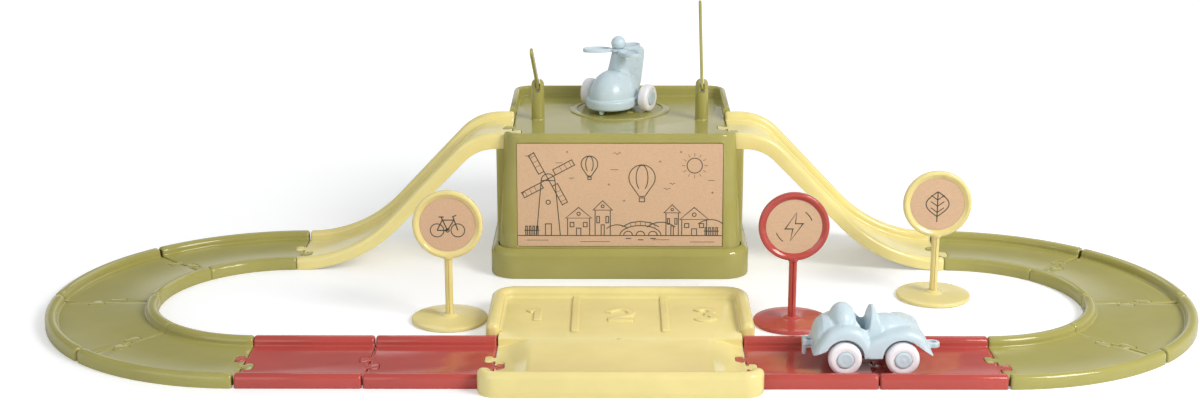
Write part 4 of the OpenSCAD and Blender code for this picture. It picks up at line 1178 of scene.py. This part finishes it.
def cap_mesh():
    z = WHEEL_W - 1.0
    profile = [(0, 0), (5.3, 0), (5.3, 0.8), (5.1, 1.25), (4.6, 1.5), (3.9, 1.55), (3.4, 1.5), (2.9, 1.4),
               (1.8, 1.38), (1.3, 1.4), (0.8, 1.48), (0, 1.5)]
    return lathe("cap", [(x, z + up) for x, up in profile], 48)


def place_on_axle(wheel_node):
    """Matrix that puts a wheel lying along +Z where the CAD wheel is, turned outwards."""
    wheel = mm_middle(wheel_node)
    axle_name = wheel_node.replace("wheel", "axle").rsplit("_", 1)[0]
    middle = mm_middle(axle_name)
    out = (wheel - middle).normalized()
    turn = vec(0, 0, 1).rotation_difference(out).to_matrix().to_4x4()
    return Matrix.Translation(wheel - out * WHEEL_W / 2) @ turn


def build_wheels():
    wheels = {f"car_wheel_{end}_{side}": f"car_{end}_wheels"
              for end in ("front", "rear") for side in ("left", "right")}
    wheels.update({f"helicopter_wheel_{side}": "helicopter_wheels" for side in ("left", "right")})
    for name, body in wheels.items():
        place = place_on_axle(name)
        shown(moved(wheel_mesh(), place), name.replace("wheel", "tyre"), body, white, name)
        cap = name.replace("wheel", "cap")
        shown(moved(cap_mesh(), place), name.replace("wheel", "hub"), body, blue, cap)
    for name in ("car_axle_front", "car_axle_rear", "helicopter_axle"):
        dress(frame["nodes"][name], blue)


# ---- Soft mouldings: parts melted together on a fine grid, then smoothed ----

SKIN_ANGLE = radians(80)
CUT_SKIN_ANGLE = radians(70)
BORE_R = 1.8


def melted(name, parts, voxel, smoothing, keep):
    """One smooth skin round all parts; edges cut before it come out soft, later ones sharp."""
    obj = joined(name, parts)
    remesh = obj.modifiers.new("remesh", "REMESH")
    remesh.mode = "VOXEL"
    remesh.voxel_size = voxel * MM
    smooth = obj.modifiers.new("smooth", "SMOOTH")
    smooth.factor = 0.5
    smooth.iterations = smoothing
    if keep < 1:
        thin = obj.modifiers.new("thin", "DECIMATE")
        thin.ratio = keep
    applied(obj)
    return finish_mesh(obj, SKIN_ANGLE)


def ellipse_section(x, half_w, low, high, power, steps=32):
    """Superellipse across the car at x."""
    points = []
    for a in turns(steps):
        c, s = cos(a), sin(a)
        y = half_w * abs(c) ** (2 / power) * (1 if c > 0 else -1)
        z = (low + high) / 2 + (high - low) / 2 * abs(s) ** (2 / power) * (1 if s > 0 else -1)
        points.append(vec(x, y, z))
    return points


def ball(x, y, z, rx, ry, rz, steps=24):
    half = [(max(sin(pi * k / steps), 0), -cos(pi * k / steps)) for k in range(steps + 1)]
    half[0], half[-1] = (0, -1), (0, 1)
    obj = lathe("ball", half, 2 * steps)
    return moved(obj, Matrix.Translation((x, y, z)) @ Matrix.Diagonal((rx, ry, rz, 1)))


def pillow(outline, centre, low_y, high_y, soft, steps=5):
    """Side-view outline (x, z) carried from low_y to high_y, drawn in round its centre at both faces."""
    arms = [Vector(p) - Vector(centre) for p in outline]
    rings = []
    for face, way in ((low_y, 1), (high_y, -1)):
        half = []
        for k in range(steps + 1):
            a = pi / 2 * k / steps
            shares = [max(1 - soft * (1 - sin(a)) / arm.length, 0.2) for arm in arms]
            half.append([vec(centre[0] + arm.x * share, face + way * soft * (1 - cos(a)),
                             centre[1] + arm.y * share) for arm, share in zip(arms, shares)])
        rings += half if way > 0 else half[::-1]
    return loft("pillow", rings)


def block(low, high, soft):
    """Block between two corners with all upright edges and its top softened."""
    w, d = high[0] - low[0], high[1] - low[1]
    made = prism("block", round_rect(w, d, min(soft * 2, w / 2.1, d / 2.1), 3), low[2], high[2], soft)
    return moved(made, at(low[0] + w / 2, low[1] + d / 2))


def ellipse(z, rx, rz, steps):
    return [(rx * cos(a), z + rz * sin(a)) for a in (radians(360 * k / steps) for k in range(steps))]


# ---- Car: x forward, z up from the road, origin under its middle ----

CAR_AXLE_X = 18.0
ARCH_R = 12.3
WELL_Y = 14.3
FENDER_HALF = 21.0
UNDERSIDE_Z = 10.4
TOW_EYE_X = 40.0
TOW_EYE_R = 2.1


def cabin_mesh():
    """Bonnet, cabin and boot in one loft of rounded sections."""
    stations = [(-37.2, 6.0, 13.5, 19.5, 2.0), (-36.4, 10.0, 11.5, 24.0, 2.1),
                (-34.5, 12.4, 10.5, 28.4, 2.2), (-31, 13.6, 10, 31.8, 2.3),
                (-27, 13.9, 10, 33.0, 2.4), (-23, 13.9, 10, 32.6, 2.5),
                (-12, 13.9, 10, 31.4, 2.6), (-4, 13.8, 10, 31.2, 2.7), (3, 13.4, 10, 32.2, 2.6),
                (10, 12.8, 10, 32.8, 2.5), (17, 11.8, 10.2, 32.2, 2.4), (23, 10.4, 10.4, 30.2, 2.3),
                (27.5, 8.8, 10.8, 27.0, 2.2), (30.6, 6.8, 11.5, 23.2, 2.1), (32.2, 4.6, 13, 20.2, 2.0),
                (32.8, 2.6, 14.5, 18.2, 2.0)]
    return loft("cabin", [ellipse_section(x, w, low, high, power) for x, w, low, high, power in stations])


def fender_meshes():
    """Rear and front fenders, each in one piece right across the car."""
    rear = rounded([(-38.2, 11.4, 0.5), (-2, 9.5, 1), (-0.6, 19, 9), (-8, 29.0, 11), (-19, 31.4, 18),
                    (-29, 27.6, 12), (-34.2, 19.5, 8)], 7)
    front = rounded([(-6, 9.5, 2), (29, 10, 2), (38.2, 11.4, 0.5), (33.6, 18.0, 7), (30.8, 25.0, 6),
                     (20.5, 29.0, 12), (8, 26.4, 14), (-2.5, 21.8, 7), (-9, 14, 4)], 7)
    return [pillow(rear, (-CAR_AXLE_X, 13), -FENDER_HALF, FENDER_HALF, 4.6, 8),
            pillow(front, (15, 14), -FENDER_HALF, FENDER_HALF, 4.0, 8)]


SCREEN_HALF = 13.5
SCREEN_FOOT_Z = 24
SCREEN_RISE = 14.9


def windscreen_mesh():
    """Pointed arch across the car, thick at its foot and thin at its edge, leaning back."""
    rings = []
    for x_foot, x_tip, inset in ((-3.2, -0.5, 0.6), (-2.5, -0.3, 0), (6.0, 1.3, 0), (7.4, 1.8, 0.9)):
        ring = []
        for k in range(33):
            t = -1 + 2 * k / 32
            y = (SCREEN_HALF - inset) * sin(pi / 2 * t)
            z = SCREEN_FOOT_Z + (SCREEN_RISE - inset) * (1 - abs(t) ** 2.1)
            ring.append(vec(x_foot + (x_tip - x_foot) * (z - SCREEN_FOOT_Z) / SCREEN_RISE, y, z))
        ring += [vec(x_foot, SCREEN_HALF - inset, 18), vec(x_foot, -SCREEN_HALF + inset, 18)]
        rings.append(ring)
    return loft("screen", rings)


def cockpit_cutter():
    levels = ((-8.2, 0.8, 9.6, 2.4, 14), (-9.0, 0.8, 10.4, 2.6, 17), (-9.8, 0.4, 11.3, 3, 24),
              (-10.6, 0.2, 12.0, 3, 32), (-11.4, -0.2, 12.6, 3, 46))
    return loft("cockpit", [at_height(rectangle(x0, -w, x1, w, r, r), z)
                            for x0, x1, w, r, z in levels])


def couplings():
    """Hook with a slot behind the car and an eye on a tongue ahead of it."""
    parts = [block((-43, -4.6, 13.2), (-40.0, 4.6, 17.2), 0.6),
             block((-43, -2.4, 6.6), (-40.0, 2.4, 15), 0.6)]
    parts += [block((-42, side - 1.1, 13.9), (-33, side + 1.1, 16.8), 0.6) for side in (-3.3, 3.3)]
    parts.append(block((-42, -2.4, 11.2), (-33, 2.4, 12.8), 0.5))
    eye = rounded([(33, -4.2, 0), (44.2, -4.2, 4.1), (44.2, 4.2, 4.1), (33, 4.2, 0)], 8)
    parts.append(prism("eye", eye, 11.4, 14.8, 0.6))
    return parts


def car_mesh():
    """Body melted and cut to shape, melted again with the windscreen and couplings, then drilled."""
    seats = [ball(-18.2, 0, 29.4, 8.7, 13.9, 11.0), ball(-11.5, 0, 25.5, 9.0, 13.9, 10.5)]
    body = melted("car", [cabin_mesh(), *fender_meshes(), *seats], voxel=0.5, smoothing=1, keep=1)
    dip = rounded([(-4.2, 24.6, 2.0), (3.2, 41, 0), (-13.4, 43, 0), (-11.2, 35.0, 5)], 6)
    tails = [rounded([(-46, 4, 0), (-25, 4, 0), (-25, 17.6, 0), (-38.6, 11.0, 0), (-46, 11.0, 0)]),
             rounded([(24, 4, 0), (46, 4, 0), (46, 10.8, 0), (38.4, 10.8, 0), (25, 20.6, 0)])]
    cutters = [cockpit_cutter(), pillow(dip, (-5, 33), -30, 30, 1)]
    cutters += [side_loft("tail", [(tail, -30), (tail, 30)]) for tail in tails]
    for x in (-CAR_AXLE_X, CAR_AXLE_X):
        for side in (-1, 1):
            well = rod("well", WELL_Y, 30, ARCH_R, 64)
            cutters.append(moved(well, tipped(-side * pi / 2, "X", x, 0, WHEEL_R)))
    for cutter in cutters:
        minus(body, cutter)
    minus(body, block((-50, -40, -20), (50, 40, UNDERSIDE_Z), 0.01))
    under = prism("under", round_rect(12, 20, 3), -5, 12.5)
    minus(body, under)
    whole = melted("car", [body, windscreen_mesh(), *couplings()], voxel=0.4, smoothing=5, keep=0.35)
    minus(whole, moved(rod("hole", 0, 30, TOW_EYE_R, 32), at(TOW_EYE_X)))
    for x in (-CAR_AXLE_X, CAR_AXLE_X):
        minus(whole, moved(rod("bore", -30, 30, BORE_R, 20), tipped(pi / 2, "X", x, 0, WHEEL_R)))
    return finish_mesh(whole, CUT_SKIN_ANGLE)


def build_car():
    wheels = mm_middle("car_axle_front", "car_axle_rear")
    place = at(wheels.x, wheels.y, wheels.z - WHEEL_R)
    shown(moved(car_mesh(), place), "car_moulding", "car", blue, "car_body")


# ---- Helicopter: nose towards -Y, z up from the deck, origin under its axle ----

NOSE_Y = -14.5
LIP_HALF = 18.5
LIP_Z = 4.2
HULL_BACK = 10.5
PEG_Y = -28.5
ROTOR_Z = 46.0
SPINDLE_R = 1.7


def hull_outline(grow):
    half, back = LIP_HALF + grow, HULL_BACK + grow
    front = [vec(half * cos(a), NOSE_Y + half * sin(a))
             for a in (pi + pi * k / 32 for k in range(33))]
    rear = rounded([(half, NOSE_Y + 1, 0), (half, back, 5), (-half, back, 5), (-half, NOSE_Y + 1, 0)], 6)
    return front + rear


def helicopter_mesh():
    levels = ((-2.2, 3.5), (-0.9, 3.9), (-0.1, 4.9), (0, 6.5), (0, 9.4), (-0.25, 10.5), (-1.0, 11.2),
              (-2.4, 11.5))
    lip = loft("lip", [at_height(hull_outline(by), z) for by, z in levels])
    dome = ball(0, -10.0, 11, 17.1, 21.8, 21.0)
    front_only = block((-40, -2.6, -40), (40, 40, 60), 0.01)
    minus(dome, moved(front_only, tipped(radians(-9), "X")))
    rear = [(ellipse(10, w, h, 40), y)
            for y, w, h in ((-14, 14.0, 17.2), (-5, 15.6, 19.2), (0, 15.8, 19.2), (6, 15.2, 18.2),
                            (10, 13.6, 15.6), (12, 11.0, 12.4), (12.8, 6, 8))]
    mast = lathe("mast", [(0, 8), (12.5, 8), (12, 20), (10.2, 26), (8.4, 30), (7.6, 33), (6.9, 36),
                          (6.0, 40), (5.4, 43), (5.0, 44.0), (4.4, 44.3), (0, 44.3)], 48)
    fin_outline = rounded([(-2, 10, 0), (12, 6.5, 4), (28, 10, 5), (31.5, 15, 4), (37.4, 37, 3),
                           (36.2, 43.6, 3.0), (24, 40.6, 8), (8, 41.0, 0), (-2, 41, 0)], 6)
    fin = pillow(fin_outline, (15, 26), -5.0, 5.0, 2.4, 6)
    moved(fin, tipped(pi / 2, "Z") @ Matrix.Scale(-1, 4, vec(0, 1, 0)))
    root = [(ellipse(14, w, h, 32), y)
            for y, w, h in ((4, 13, 15), (12, 10.5, 13.5), (20, 7.2, 10), (27, 4.6, 6.5), (31, 2.4, 3.5))]
    peg = lathe("peg", [(0, 0.0), (1.3, 0.15), (1.8, 0.7), (2.5, 4.5), (2.6, 8), (0, 8)], 24)
    moved(peg, at(y=PEG_Y))
    shells = [dome, side_loft("rear", rear), side_loft("root", root)]
    for shell in shells:
        minus(shell, block((-60, -60, -40), (60, 60, LIP_Z), 0.01))
    body = melted("helicopter", [lip, mast, fin, peg, *shells], voxel=0.42, smoothing=4, keep=0.35)
    minus(body, rod("spindle", 34, 60, SPINDLE_R, 24))
    minus(body, moved(rod("bore", -30, 30, BORE_R, 20), tipped(pi / 2, "Y", z=WHEEL_R)))
    return finish_mesh(body, CUT_SKIN_ANGLE)


LEAF_MIDDLE = 16.2
LEAF_HALF_LEN = 11.3
LEAF_HALF_W = 7.2


def leaf_outline(grow=0.0):
    """Blade seen from above, along +X from near the hub to its round tip."""
    points = []
    for a in turns(40):
        x = LEAF_MIDDLE + (LEAF_HALF_LEN + grow) * cos(a)
        width = (LEAF_HALF_W + grow) * (1 - 0.14 * cos(a - 2.6))
        points.append(vec(x, width * sin(a) * (abs(sin(a)) ** -0.12 if abs(sin(a)) > 1e-6 else 1)))
    return points


def rotor_mesh():
    """Three dished blades with raised rims round a hub."""
    hub = lathe("hub", [(1.75, -1.3), (5.6, -1.3), (6.2, -0.8), (6.3, 0.6), (5.9, 1.2), (5.2, 1.3),
                        (1.75, 1.3), (1.75, -1.3)], 48)
    blades = []
    for k in range(3):
        rim = prism("blade", leaf_outline(), -1.3, 1.3, 0.6, 4)
        dish = loft("dish", [at_height(leaf_outline(-2.2), 0.25), at_height(leaf_outline(-1.5), 0.7),
                             at_height(leaf_outline(-1.1), 1.6)])
        minus(rim, dish)
        arm = prism("arm", round_rect(7, 7, 2), -0.9, 0.9, 0.4)
        plus(rim, moved(arm, at(5.2)))
        blades.append(moved(rim, at(turn=180 + 120 * k)))
    rotor = blades[0]
    for other in blades[1:]:
        rotor = joined("rotor", [rotor, other])
    core = rod("core", -2, 2, 5.0, 48)
    minus(rotor, core)
    return joined("rotor", [rotor, hub])


def ball_mesh():
    """Ball with a flat underside on the rotor's spindle, up from the rotor's middle."""
    r, flat, middle = 5.7, 1.7, 5.2
    start = asin((flat + 0.3 - middle) / r)
    profile = [(0, -12.5), (1.3, -12.5), (1.5, -12.2), (1.5, flat), (r * cos(start) - 0.35, flat)]
    profile += [(r * cos(a), middle + r * sin(a))
                for a in (start + (pi / 2 - start) * k / 14 for k in range(14))] + [(0, middle + r)]
    return lathe("ball", profile, 64)


def build_helicopter():
    axle = mm_middle("helicopter_axle")
    out = mm_middle("helicopter_wheel_left") - mm_middle("helicopter_wheel_right")
    turn = degrees(atan2(out.y, out.x))
    deck = axle.z - WHEEL_R
    place = at(axle.x, axle.y, deck, turn)
    shown(moved(helicopter_mesh(), place), "helicopter_moulding", "helicopter", blue, "helicopter_body")
    spin = joint_at("rotor_spin")
    spindle = at(spin.x, spin.y, deck + ROTOR_Z)
    shown(moved(rotor_mesh(), spindle), "helicopter_blades", "helicopter_rotor", blue, "rotor")
    shown(moved(ball_mesh(), spindle), "helicopter_knob", "helicopter", blue, "rotor_ball")


# ---- Studio, in metres ----

FLOOR_HALF = 12.0
FLOOR_GLOW = (0.32, 0.62)
FLOOR_GLOW_REACH = (0.3, 1.0)
SKY_LIGHT = 0.42
MIRRORED_LOW, MIRRORED_HIGH = 0.9, 0.22
MIRRORED_BAND = (0.19, 0.36)
FOCAL_LENGTH = 55.80
CAMERA_AT = (-0.00276, -1.2666, 0.4282)
CAMERA_TURN = (90 - 15.964, 0.099, 0.487)
LAMP_AIM = vec(0, 0, 0.03)


def studio_floor():
    """Pale floor that shines a little to the camera alone, so lit parts are white and shadows stay."""
    material, tree, shader = new_material("studio_floor")
    shader.inputs["Roughness"].default_value = 0.55
    shader.inputs["Specular IOR Level"].default_value = 0.25
    tone = noise(tree, 1.4, 2.0)
    greys = ramp(tree, tone, (0.80, 0.80, 0.80, 1), (0.82, 0.82, 0.82, 1))
    tree.links.new(greys, shader.inputs["Base Color"])
    path = node(tree, "LightPath")
    glow = node(tree, "Emission")
    coordinates = node(tree, "TexCoord")
    distance = node(tree, "VectorMath")
    distance.operation = "LENGTH"
    outwards = node(tree, "MapRange", From_Min=FLOOR_GLOW_REACH[0], From_Max=FLOOR_GLOW_REACH[1],
                    To_Min=FLOOR_GLOW[0], To_Max=FLOOR_GLOW[1])
    link(tree, coordinates, "Object", distance, "Vector")
    link(tree, distance, "Value", outwards, "Value")
    link(tree, outwards, "Result", glow, "Strength")
    add = node(tree, "AddShader")
    mix = node(tree, "MixShader")
    output = tree.nodes["Material Output"]
    link(tree, shader, "BSDF", add, 0)
    link(tree, glow, "Emission", add, 1)
    link(tree, path, "Is Camera Ray", mix, "Fac")
    link(tree, shader, "BSDF", mix, 1)
    link(tree, add, "Shader", mix, 2)
    link(tree, mix, "Shader", output, "Surface")
    mesh = bpy.data.meshes.new("studio_floor")
    corners = [(x * FLOOR_HALF, y * FLOOR_HALF, 0) for x, y in ((-1, -1), (1, -1), (1, 1), (-1, 1))]
    mesh.from_pydata(corners, [], [(0, 1, 2, 3)])
    mesh.materials.append(material)
    floor = placed("studio_floor", mesh)


def studio_world():
    """Even sky for the light, white for the camera, and for reflections bright low down and dim above."""
    world = bpy.data.worlds.new("studio")
    bpy.context.scene.world = world
    world.use_nodes = True
    tree = world.node_tree
    light = tree.nodes["Background"]
    light.inputs["Color"].default_value = (0.95, 0.975, 1.0, 1)
    light.inputs["Strength"].default_value = SKY_LIGHT
    seen = node(tree, "Background", Color=(1, 1, 1, 1), Strength=1.0)
    mirrored = node(tree, "Background", Color=(1, 1, 1, 1))
    path = node(tree, "LightPath")
    coordinates = node(tree, "TexCoord")
    axes = node(tree, "SeparateXYZ")
    height = node(tree, "MapRange", From_Min=MIRRORED_BAND[0], From_Max=MIRRORED_BAND[1],
                  To_Min=MIRRORED_LOW, To_Max=MIRRORED_HIGH)
    height.interpolation_type = "SMOOTHSTEP"
    direct = node(tree, "Math")
    direct.operation = "MAXIMUM"
    to_mirror, to_camera = node(tree, "MixShader"), node(tree, "MixShader")
    link(tree, coordinates, "Generated", axes, "Vector")
    link(tree, axes, "Z", height, "Value")
    link(tree, height, "Result", mirrored, "Strength")
    link(tree, path, "Is Camera Ray", direct, 0)
    link(tree, path, "Is Transmission Ray", direct, 1)
    link(tree, path, "Is Glossy Ray", to_mirror, "Fac")
    link(tree, light, "Background", to_mirror, 1)
    link(tree, mirrored, "Background", to_mirror, 2)
    link(tree, direct, "Value", to_camera, "Fac")
    link(tree, to_mirror, "Shader", to_camera, 1)
    link(tree, seen, "Background", to_camera, 2)
    tree.links.new(to_camera.outputs["Shader"], tree.nodes["World Output"].inputs["Surface"])


def area_light(name, where, size, power, tint=(1, 1, 1)):
    data = bpy.data.lights.new(name, "AREA")
    data.shape = "RECTANGLE"
    data.size, data.size_y = size
    data.energy = power
    data.color = tint
    lamp = placed(name, data)
    lamp.location = where
    lamp.rotation_euler = (LAMP_AIM - Vector(where)).to_track_quat("-Z", "Y").to_euler()


def studio_camera():
    data = bpy.data.cameras.new("camera")
    data.sensor_width = 36.0
    data.lens = FOCAL_LENGTH
    data.clip_end = 50
    camera = placed("camera", data)
    camera.location = CAMERA_AT
    camera.rotation_euler = [radians(turn) for turn in CAMERA_TURN]
    bpy.context.scene.camera = camera


build_road()
build_ramps()
build_tray()
build_box()
build_base()
build_label()
build_barriers()
build_signs()
build_wheels()
build_car()
build_helicopter()
studio_floor()
studio_world()
area_light("key", (1.15, -0.9, 1.1), (0.7, 0.7), 24, tint=(1, 0.985, 0.96))
area_light("fill", (-1.1, -1.3, 0.7), (1.4, 1.0), 6.4, tint=(0.95, 0.97, 1))
area_light("back", (0.2, 1.3, 1.1), (1.6, 0.6), 3.8)
studio_camera()
bpy.context.scene.view_settings.view_transform = "Standard"
